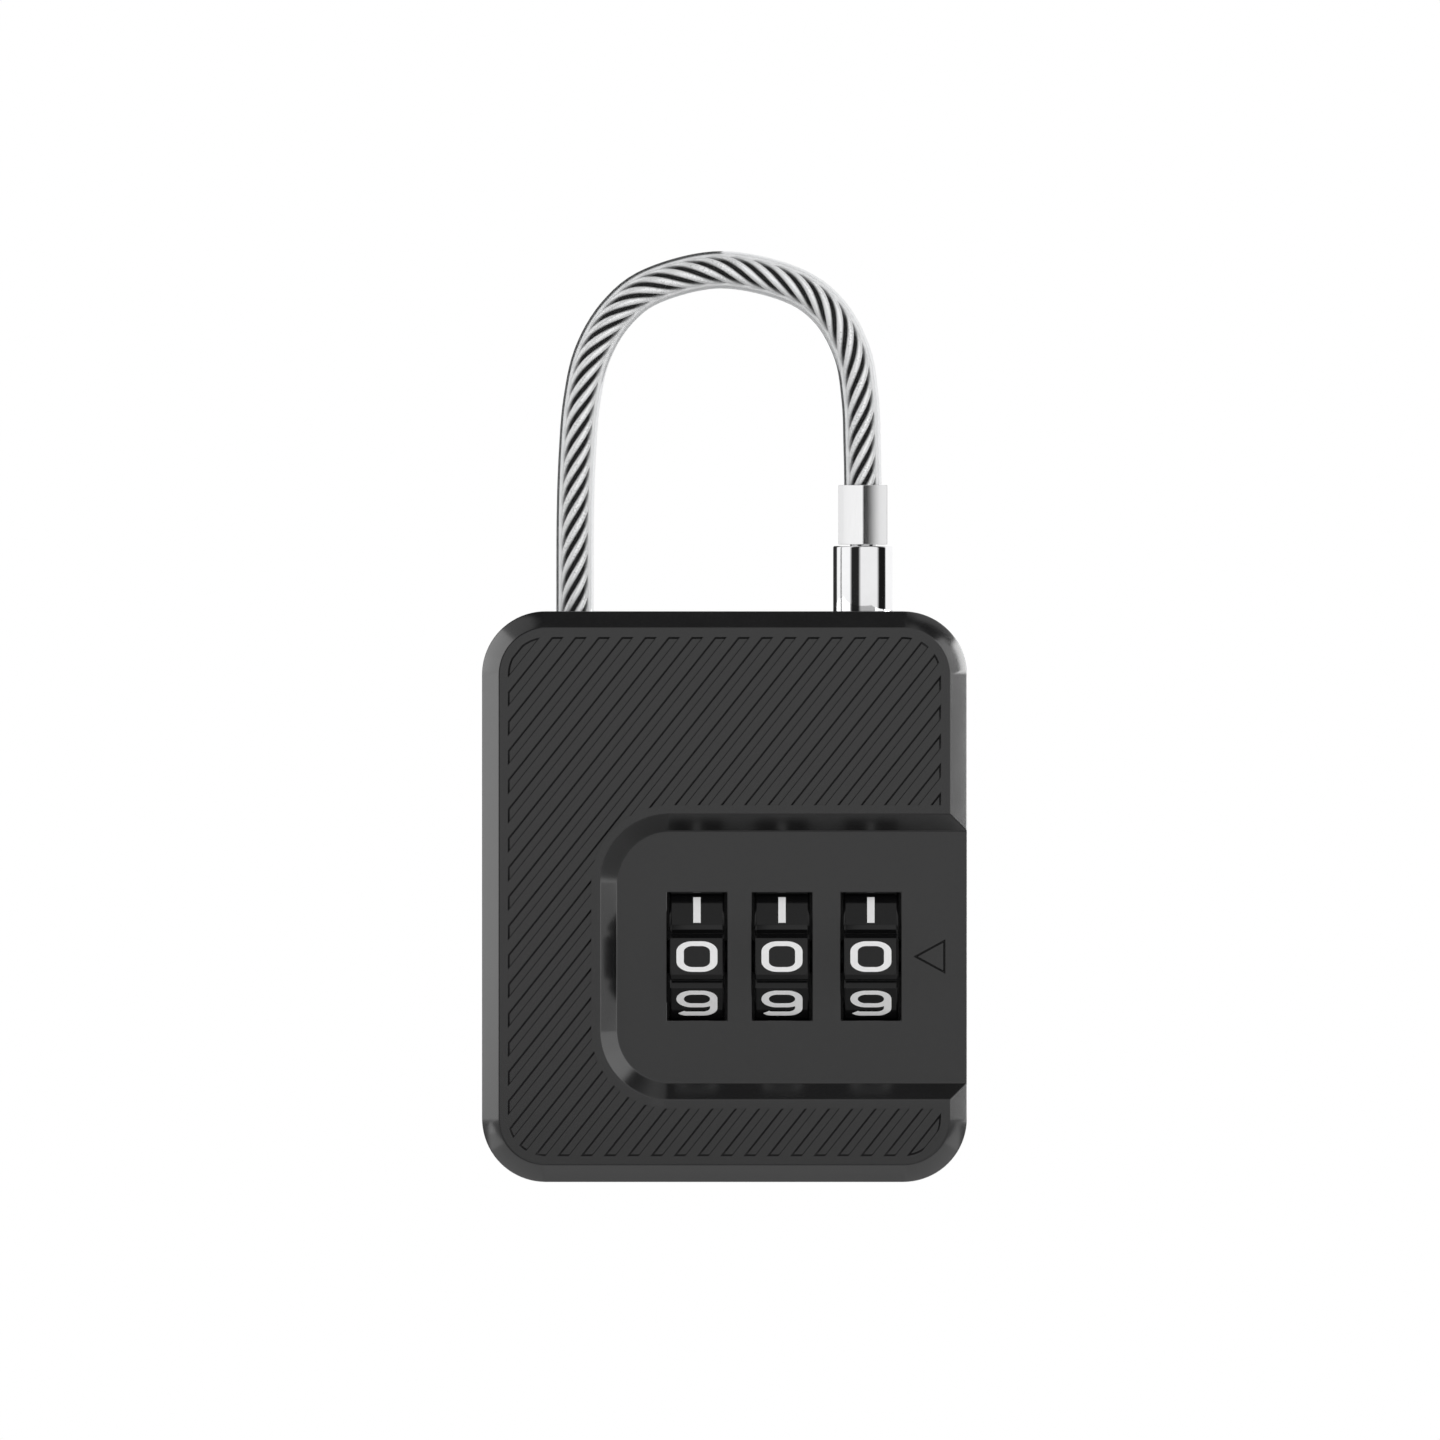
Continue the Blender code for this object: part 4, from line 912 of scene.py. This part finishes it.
def seam_step():
    """Step that meets the shell's rim, so the parting line is a shallow groove."""
    outline = body_outline(SEAM_DEPTH)
    step = plate("step", outline, SHELL_REAR_Y - STEP_OVERLAP, COVER_FRONT_Y + STEP_ROOT)
    span = (SHELL_REAR_Y - MM, COVER_FRONT_Y + MM)
    hollow = plate("step_hollow", body_outline(STEP_INNER), *span)
    cut(step, hollow, *screw_rooms("step_room", STEP_ROOM_RADIUS, *span))
    return step


def make_screw(number, centre):
    """Pan-head machine screw with a cross recess, its head at the back."""
    head_y = 5.9 * MM
    top = 6.4 * MM
    radius = 1.35 * MM
    shank = 0.65 * MM
    bevel = 0.04 * MM
    tip_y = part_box(f"rear_screw_{number}")[0].y
    profile = [
        (0, tip_y), (shank - 0.25 * MM, tip_y), (shank, tip_y + 0.25 * MM), (shank, head_y),
        (radius - bevel, head_y), (radius, head_y + bevel), (radius, head_y + 0.2 * MM),
        (radius * 0.97, head_y + 0.3 * MM), (radius * 0.9, head_y + 0.39 * MM),
        (radius * 0.75, head_y + 0.46 * MM), (radius * 0.5, top - 0.01 * MM), (0, top),
    ]
    screw = turned(f"cover_screw_{number}", profile, 64, axis="Y", centre=(centre[0], 0, centre[1]))
    depths = (top - 0.38 * MM, top + 0.1 * MM)
    floor_scale = 0.55
    tools = []
    for tag, (half_x, half_z) in {"across": (0.82, 0.17), "upright": (0.17, 0.82)}.items():
        rings = []
        for y, scale in zip(depths, (floor_scale * MM, MM)):
            x = half_x * scale
            z = half_z * scale
            outline = ((x, z), (-x, z), (-x, -z), (x, -z))
            rings.append([(centre[0] + px, y, centre[1] + pz) for px, pz in outline])
        tools.append(loft(f"recess_{tag}", rings))
    cut(screw, *tools)
    return shade(screw, angle=30)


# ---------------- wheels and numerals

def facet_axes(position):
    """Outward and upward directions of a place on a wheel, in facets from the front."""
    angle = 2 * math.pi * position / DIGIT_COUNT
    outward = Vector((0, -math.cos(angle), math.sin(angle)))
    upward = Vector((0, math.sin(angle), math.cos(angle)))
    return outward, upward


def wheel_outline():
    """Ten flats with a notch at every corner; a flat's lower edge leans into its notch."""
    flat_half = WHEEL_APOTHEM * math.tan(math.pi / DIGIT_COUNT) - WHEEL_GROOVE_WIDTH / 2
    profile = (
        (WHEEL_GROOVE_RADIUS - 0.26 * MM, -flat_half - 0.325 * MM),
        (WHEEL_APOTHEM - 0.13 * MM, -flat_half - 0.265 * MM),
        (WHEEL_APOTHEM, -flat_half),
        (WHEEL_APOTHEM, flat_half),
    )
    points = []
    for digit in range(DIGIT_COUNT):
        outward, upward = facet_axes(digit)
        points += [outward * reach + upward * rise for reach, rise in profile]
    return points


def decagon(apothem):
    radius = apothem / math.cos(math.pi / DIGIT_COUNT)
    return [facet_axes(corner + 0.5)[0] * radius for corner in range(DIGIT_COUNT)]


def make_wheel(number, centre):
    name = f"wheel_skin_{number}"
    half = WHEEL_WIDTH / 2
    edge = 0.12 * MM
    outline = wheel_outline()
    shrink = 1 - edge / WHEEL_APOTHEM
    rings = []
    for x, scale in ((-half, shrink), (-half + edge, 1), (half - edge, 1), (half, shrink)):
        rings.append([centre + Vector((x, p.y * scale, p.z * scale)) for p in outline])
    wheel = loft(name, rings)
    ends = [centre + Vector((x, 0, 0)) for x in (-half - MM, half + MM)]
    bore = decagon(WHEEL_BORE_APOTHEM)
    cut(wheel, loft(f"bore_{number}", [[end + p for p in bore] for end in ends]))
    soften(wheel, 0.025 * MM, angle=12)
    return shade(wheel, angle=14)


def round_box(left, right, low, high, r):
    """Closed stroke round a box with rounded corners."""
    upper = arc((right - r, high - r), r, 0, 90) + arc((left + r, high - r), r, 90, 180)
    return upper + arc((left + r, low + r), r, 180, 270) + arc((right - r, low + r), r, 270, 360)


def numeral_strokes(digit):
    """Centre lines of a numeral's strokes, as (points, closed)."""
    w = NUMERAL_HALF_WIDTH
    h = NUMERAL_HALF_HEIGHT
    end = NUMERAL_STROKE / 2
    if digit == 0:
        return [(round_box(-w, w, -h, h, 0.5), True)]
    if digit == 1:
        return [([(0, -h - end - 0.03), (0, h + end + 0.03)], False)]
    if digit == 2:
        r = 0.44
        top = [(-w, h - r - 0.1)] + arc((r - w, h - r), r, 180, 90)
        top += arc((w - r, h - r), r, 90, 0)
        r = 0.38
        middle = arc((w - r, 0.36), r, 0, -90) + arc((r - w, -0.40), r, 90, 180)
        return [(top + middle + [(-w, -h), (w + 0.1, -h)], False)]
    if digit == 3:
        r = 0.40
        top = [(-w, h - r - 0.08)] + arc((r - w, h - r), r, 180, 90)
        top += arc((w - r, h - r), r, 90, -90) + [(-0.25, h - 2 * r)]
        low = [(-0.25, 2 * r - h)] + arc((w - r, r - h), r, 90, -90)
        low += arc((r - w, r - h), r, 270, 180) + [(-w, r - h + 0.08)]
        return [(top, False), (low, False)]
    if digit == 4:
        stem = 0.36
        bar = -0.42
        return [
            ([(w + end, bar), (-w - 0.02, bar), (stem - 0.02, h), (stem, h)], False),
            ([(stem, -h - end), (stem, h + end)], False),
        ]
    if digit == 5:
        r = 0.46
        low = arc((w - r, 0.2 - r), r, 90, 0) + arc((w - r, r - h), r, 0, -90)
        low += arc((r - w, r - h), r, 270, 180) + [(-w, r - h + 0.04)]
        return [([(w - 0.02, h), (0.05 - w, h), (0.02 - w, 0.2)] + low, False)]
    if digit in (6, 9):
        sign = 1 if digit == 9 else -1
        r = 0.44
        tail = [(w, h - 0.48), (w, r - h)] + arc((w - r, r - h), r, 0, -90)
        tail += arc((0.26 - w, 0.26 - h), 0.26, 270, 215)
        strokes = ((round_box(-w, w, -0.17, h, 0.48), True), (tail, False))
        return [([(sign * x, sign * y) for x, y in points], closed) for points, closed in strokes]
    if digit == 7:
        return [([(-w - 0.1, h), (w + 0.02, h), (0.5 * w, 0.2), (-0.05, -h - end)], False)]
    waist = 0.04
    upper = w - 0.05
    return [
        (round_box(-w, w, -h, waist, 0.38), True),
        (round_box(-upper, upper, waist, h, 0.38), True),
    ]


def tidy_points(points, closed):
    """Drops points that repeat the one before."""
    kept = [Vector(points[0])]
    for point in points[1:]:
        if (Vector(point) - kept[-1]).length > SAME_POINT:
            kept.append(Vector(point))
    if closed and (kept[0] - kept[-1]).length < SAME_POINT:
        kept.pop()
    return kept


def stroke_solid(name, points, closed, place):
    """Band of even width along a centre line; place turns (across, up, outward) into a point."""
    points = tidy_points(points, closed)
    count = len(points)
    rings = []
    for i, point in enumerate(points):
        before = points[i - 1] if closed or i else 2 * points[0] - points[1]
        last = 2 * points[-1] - points[-2]
        after = points[(i + 1) % count] if closed or i < count - 1 else last
        first = (point - before).normalized()
        mean = (first + (after - point).normalized()).normalized()
        reach = NUMERAL_STROKE / 2 / max(NUMERAL_MITRE_LIMIT, mean.dot(first))
        side = Vector((-mean.y, mean.x)) * reach
        ring = []
        for lift, edges in ((NUMERAL_PROUD, (side, -side)), (-NUMERAL_SUNK, (-side, side))):
            for edge in edges:
                corner = point + edge
                ring.append(place(corner.x * NUMERAL_WIDEN * MM, corner.y * MM, lift))
        rings.append(ring)
    return loft(name, rings, closed)


def make_numerals(number, centre):
    """Ten numerals inlaid in a wheel's flats."""
    bm = bmesh.new()
    for digit in range(DIGIT_COUNT):
        outward, upward = facet_axes(digit)

        def place(across, up, lift):
            return centre + Vector((across, 0, 0)) + upward * up + outward * (WHEEL_APOTHEM + lift)

        strokes = []
        for index, (points, closed) in enumerate(numeral_strokes(digit)):
            strokes.append(stroke_solid(f"stroke_{number}_{digit}_{index}", points, closed, place))
        numeral = strokes[0]
        if len(strokes) > 1:
            join(numeral, *strokes[1:])
        bm.from_mesh(numeral.data)
        bpy.data.objects.remove(numeral, do_unlink=True)
    # Points that the joins left on top of each other
    bmesh.ops.remove_doubles(bm, verts=bm.verts, dist=WELD_DISTANCE)
    bmesh.ops.dissolve_degenerate(bm, edges=bm.edges, dist=WELD_DISTANCE)
    return solid(f"numerals_{number}", bm)


# ---------------- plug and reset pin

def rim_points(radius, height, rim, start, end):
    """Rounded rim of a turned piece, ending at the given radius and height."""
    middle = height + rim if start < 0 else height - rim
    return arc((radius - rim, middle), rim, start, end, 5)


def make_plug_collar():
    """Sleeve with softened rims."""
    low = COLLAR_LOW.z
    high = COLLAR_HIGH.z
    rim = 0.1 * MM
    profile = [
        (STEM_BORE_RADIUS, low),
        *rim_points(COLLAR_RADIUS, low, rim, -90, 0),
        *rim_points(COLLAR_RADIUS, high, rim, 0, 90),
        (STEM_BORE_RADIUS, high),
    ]
    collar = turned("plug_collar_skin", profile, 128, closed=True, centre=(PLUG_X, 0, 0))
    return shade(collar, angle=40)


def make_crimp_ferrule():
    """Six-sided sleeve with one edge to the front, hollow-pressed faces and a bore."""
    apothem = (CRIMP_HIGH.x - CRIMP_LOW.x) / 2
    hollow = 0.04 * MM
    steps = 6
    low = CRIMP_LOW.z
    high = CRIMP_HIGH.z
    outline = []
    for side in range(6):
        outward = math.radians(-60 + 60 * side)
        for step in range(steps):
            across = 2 * step / steps - 1
            reach = apothem * math.tan(math.pi / 6) * across
            height = apothem - hollow * (1 - across ** 2)
            x = height * math.cos(outward) - reach * math.sin(outward)
            y = height * math.sin(outward) + reach * math.cos(outward)
            outline.append((PLUG_X + x, y))
    rings = [[(x, y, z) for x, y in outline] for z in (low, high)]
    ferrule = loft("crimp_ferrule_skin", rings)
    floor_z = 41.3 * MM
    centre = (PLUG_X, 0, 0)
    cut(
        ferrule,
        rod("crimp_bore", CABLE_RADIUS + 0.06 * MM, floor_z, high + MM, "Z", centre, 96),
        rod("stem_bore", STEM_BORE_RADIUS, low - MM, floor_z + 0.1 * MM, "Z", centre, 64),
    )
    soften(ferrule, 0.06 * MM, segments=3, angle=30)
    return shade(ferrule, angle=24)


def make_plug_pin():
    """Turned pin with a latch neck and a tapered tip."""
    low, high = (corner.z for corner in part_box("plug_pin"))
    radius = 1.45 * MM
    neck = 0.95 * MM
    stem = 0.8 * MM
    neck_low = 30.5 * MM
    neck_high = 31.6 * MM
    shoulder_z = 35.2 * MM
    profile = [
        (0, low), (0.55 * MM, low), (0.72 * MM, low + 0.06 * MM),
        (1.36 * MM, low + 0.78 * MM), (1.43 * MM, low + 0.92 * MM), (radius, low + 1.05 * MM),
        (radius, 30.33 * MM), (radius - 0.03 * MM, 30.4 * MM), (neck + 0.04 * MM, neck_low),
        (neck, 30.54 * MM), (neck, 31.52 * MM), (neck + 0.03 * MM, 31.58 * MM),
        (radius - 0.05 * MM, neck_high), (radius, neck_high + 0.05 * MM),
        (radius, shoulder_z - 0.05 * MM), (radius - 0.05 * MM, shoulder_z),
        (stem, shoulder_z), (stem, high - 0.1 * MM), (stem - 0.1 * MM, high), (0, high),
    ]
    pin = turned("plug_pin_skin", profile, 96, centre=(PLUG_X, 0, 0))
    return shade(pin, angle=25)


def make_reset_pin():
    """Push pin in the right side: a guide flange, a rounded head and a screwdriver slot."""
    low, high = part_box("reset_pin")
    rim = 0.12 * MM
    head = 0.9 * MM
    stem = 0.55 * MM
    stem_bevel = 0.08 * MM
    flange = (high.z - low.z) / 2
    flange_bevel = 0.05 * MM
    flange_left = 13.75 * MM
    flange_right = 14.15 * MM
    profile = [
        (0, low.x), (stem - stem_bevel, low.x), (stem, low.x + stem_bevel), (stem, flange_left),
        (flange - flange_bevel, flange_left), (flange, flange_left + flange_bevel),
        (flange, flange_right - flange_bevel), (flange - flange_bevel, flange_right),
        (head, flange_right), *rim_points(head, high.x, rim, 0, 90), (head * 0.7, high.x),
        (0, high.x),
    ]
    y = RESET_PLACE.y
    z = RESET_PLACE.z
    pin = turned("reset_pin_skin", profile, 72, axis="X", centre=(0, y, z))
    slot_half = 0.14 * MM
    slot_low = (high.x - 0.35 * MM, y - slot_half, z - MM)
    slot_high = (high.x + 0.2 * MM, y + slot_half, z + MM)
    cut(pin, block("pin_slot", slot_low, slot_high))
    return shade(pin, angle=30)


def make_spring(node, wire_radius, turns):
    """Compression spring along X, from its seat in the case to the part that squeezes it."""
    low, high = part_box(node)
    middle = (low + high) / 2
    coil_radius = (high.z - low.z) / 2 - wire_radius
    first_x = low.x + wire_radius
    rise = (high.x - wire_radius - first_x) / (2 * math.pi * turns)
    steps = 36 * turns
    rings = []
    for i in range(steps + 1):
        angle = 2 * math.pi * turns * i / steps
        outward = Vector((0, math.cos(angle), math.sin(angle)))
        along = Vector((rise, -coil_radius * outward.z, coil_radius * outward.y)).normalized()
        place = Vector((first_x + rise * angle, middle.y, middle.z)) + outward * coil_radius
        rings.append(circle(place, outward, outward.cross(along), wire_radius, 12))
    spring = loft(f"{node}_coil", rings)
    shade(spring)
    paint(spring, MATERIALS["spring_steel"])
    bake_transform(spring)
    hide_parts(node)


# ---------------- put together

def build():
    make_camera()
    make_studio()
    rope, coat = make_cable()
    make_materials()
    paint(rope, MATERIALS["bright_wire"])
    paint(coat, MATERIALS["clear_vinyl"])

    shell = make_front_shell()
    stand_for(shell, "front_shell", "case", "body_paint", "black_paint")
    cover = make_rear_cover()
    stand_for(cover, "rear_cover", "case", "cover_paint", "black_paint")
    for number, centre in enumerate(SCREW_CENTRES, 1):
        screw = make_screw(number, centre)
        stand_for(screw, f"rear_screw_{number}", "case", "screw_steel", "dark_steel")
    for number, centre in enumerate(DIAL_CENTRES, 1):
        wheel = make_wheel(number, centre)
        stand_for(wheel, f"number_wheel_{number}", f"dial_{number}", "wheel_plastic", "wheel_black")
        numerals = make_numerals(number, centre)
        paint(numerals, MATERIALS["numeral_white"])
        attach(numerals, f"dial_{number}")
    stand_for(make_plug_collar(), "plug_collar", "plug", "chrome")
    stand_for(make_crimp_ferrule(), "crimp_ferrule", "plug", "satin_aluminium")
    stand_for(make_plug_pin(), "plug_pin", "plug", "satin_steel")
    stand_for(make_reset_pin(), "reset_pin", "reset", "satin_steel")
    make_spring("latch_spring", wire_radius=0.15 * MM, turns=5)
    make_spring("reset_spring", wire_radius=0.1 * MM, turns=2)
    finish_cad_nodes()
    link_lights([shell, cover])


def stand_for(piece, node, body, slot, material=None):
    """Puts a piece in a node's place; its material is named after its slot unless given."""
    paint(piece, MATERIALS[material or slot])
    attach(piece, body)
    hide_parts(node)


def finish_cad_nodes():
    for name, node in frame["nodes"].items():
        finish = next(key for key, kinds in NODE_FINISHES.items() if name.startswith(kinds))
        for slot in node.material_slots:
            slot.link = "OBJECT"
            slot.material = MATERIALS[finish]


# ---------------- studio

def make_studio():
    """Pale floor, and the light around the lock."""
    scene = bpy.context.scene
    scene.view_settings.view_transform = "Standard"
    make_world(scene)
    mesh = bpy.data.meshes.new("floor")
    corners = [(x * FLOOR_REACH, y * FLOOR_REACH) for x, y in ((-1, -1), (1, -1), (1, 1), (-1, 1))]
    mesh.from_pydata([(x, y, -FLOOR_DROP) for x, y in corners], [], [(0, 1, 2, 3)])
    floor = mesh_object("floor", mesh)
    material, tree, shader = node_material("pale_floor")
    feed(tree, shader, {"Base Color": (0.8, 0.8, 0.8, 1), "Roughness": 0.6})
    paint(floor, material)


def make_world(scene):
    """White behind the lock; around it, soft panels with dark gaps between them."""
    world = bpy.data.worlds.new("studio")
    scene.world = world
    world.use_nodes = True
    tree = world.node_tree
    place = add_node(tree, "TexCoord").outputs["Generated"]
    x, y, z = add_node(tree, "SeparateXYZ", {"Vector": place}).outputs
    forward = add_node(tree, "Math", {0: y, 1: -1}, operation="MULTIPLY").outputs[0]
    azimuth = add_node(tree, "Math", {0: x, 1: forward}, operation="ARCTAN2").outputs[0]
    panels = add_ramp(
        tree, add_range(tree, azimuth, -math.pi, math.pi, 0, 1),
        [((degrees + 180) / 360, (value,) * 3) for degrees, value in PANELS])
    heights = add_ramp(
        tree, add_range(tree, z, -1, 1, 0, 1),
        [((height + 1) / 2, (value,) * 3) for height, value in HEIGHTS])
    background = tree.nodes["Background"]
    light = mix_colours(tree, 1, panels, heights, "MULTIPLY")
    feed(tree, background, {"Color": light, "Strength": 1.0})
    backdrop = add_node(tree, "Background", {"Color": (1, 1, 1, 1)})
    mix = add_node(tree, "MixShader", {
        0: add_node(tree, "LightPath").outputs["Is Camera Ray"],
        1: background.outputs["Background"],
        2: backdrop.outputs["Background"],
    })
    feed(tree, tree.nodes["World Output"], {"Surface": mix.outputs["Shader"]})


def add_softbox(name, place, aim, width, height, radiance, diffuse_only=False):
    """Area light of even brightness, aimed at a point."""
    data = bpy.data.lights.new(name, "AREA")
    data.shape = "RECTANGLE"
    data.size = width
    data.size_y = height
    data.energy = radiance * math.pi * width * height
    light = bpy.data.objects.new(name, data)
    light.location = place
    light.rotation_euler = (Vector(aim) - Vector(place)).to_track_quat("-Z", "Y").to_euler()
    light.visible_camera = False
    light.visible_glossy = not diffuse_only
    bpy.context.scene.collection.objects.link(light)
    return light


def link_lights(body_pieces):
    """Lights that only the body catches, and a fill for everything."""
    under_y = FRONT_Y + 0.5 * MM
    lights = []
    for x, width, radiance in UNDERLIGHTS:
        place = (x, under_y, 0.01 * MM)
        size = (width, UNDERLIGHT_DEPTH)
        lights.append(add_softbox("underlight", place, (x, under_y, 1), *size, radiance))
    aim = (0, 0, 0.02)
    for x, y, width, height, radiance in SOFTBOXES:
        lights.append(add_softbox("softbox", (x, y, 0.03), aim, width, height, radiance))
    add_softbox(
        "fill", (0.1, -0.5, 0.1), aim, width=0.5, height=0.5, radiance=2.0, diffuse_only=True)
    for light in lights:
        receivers = bpy.data.collections.new(f"{light.name}_receivers")
        for piece in body_pieces:
            receivers.objects.link(piece)
        light.light_linking.receiver_collection = receivers


build()
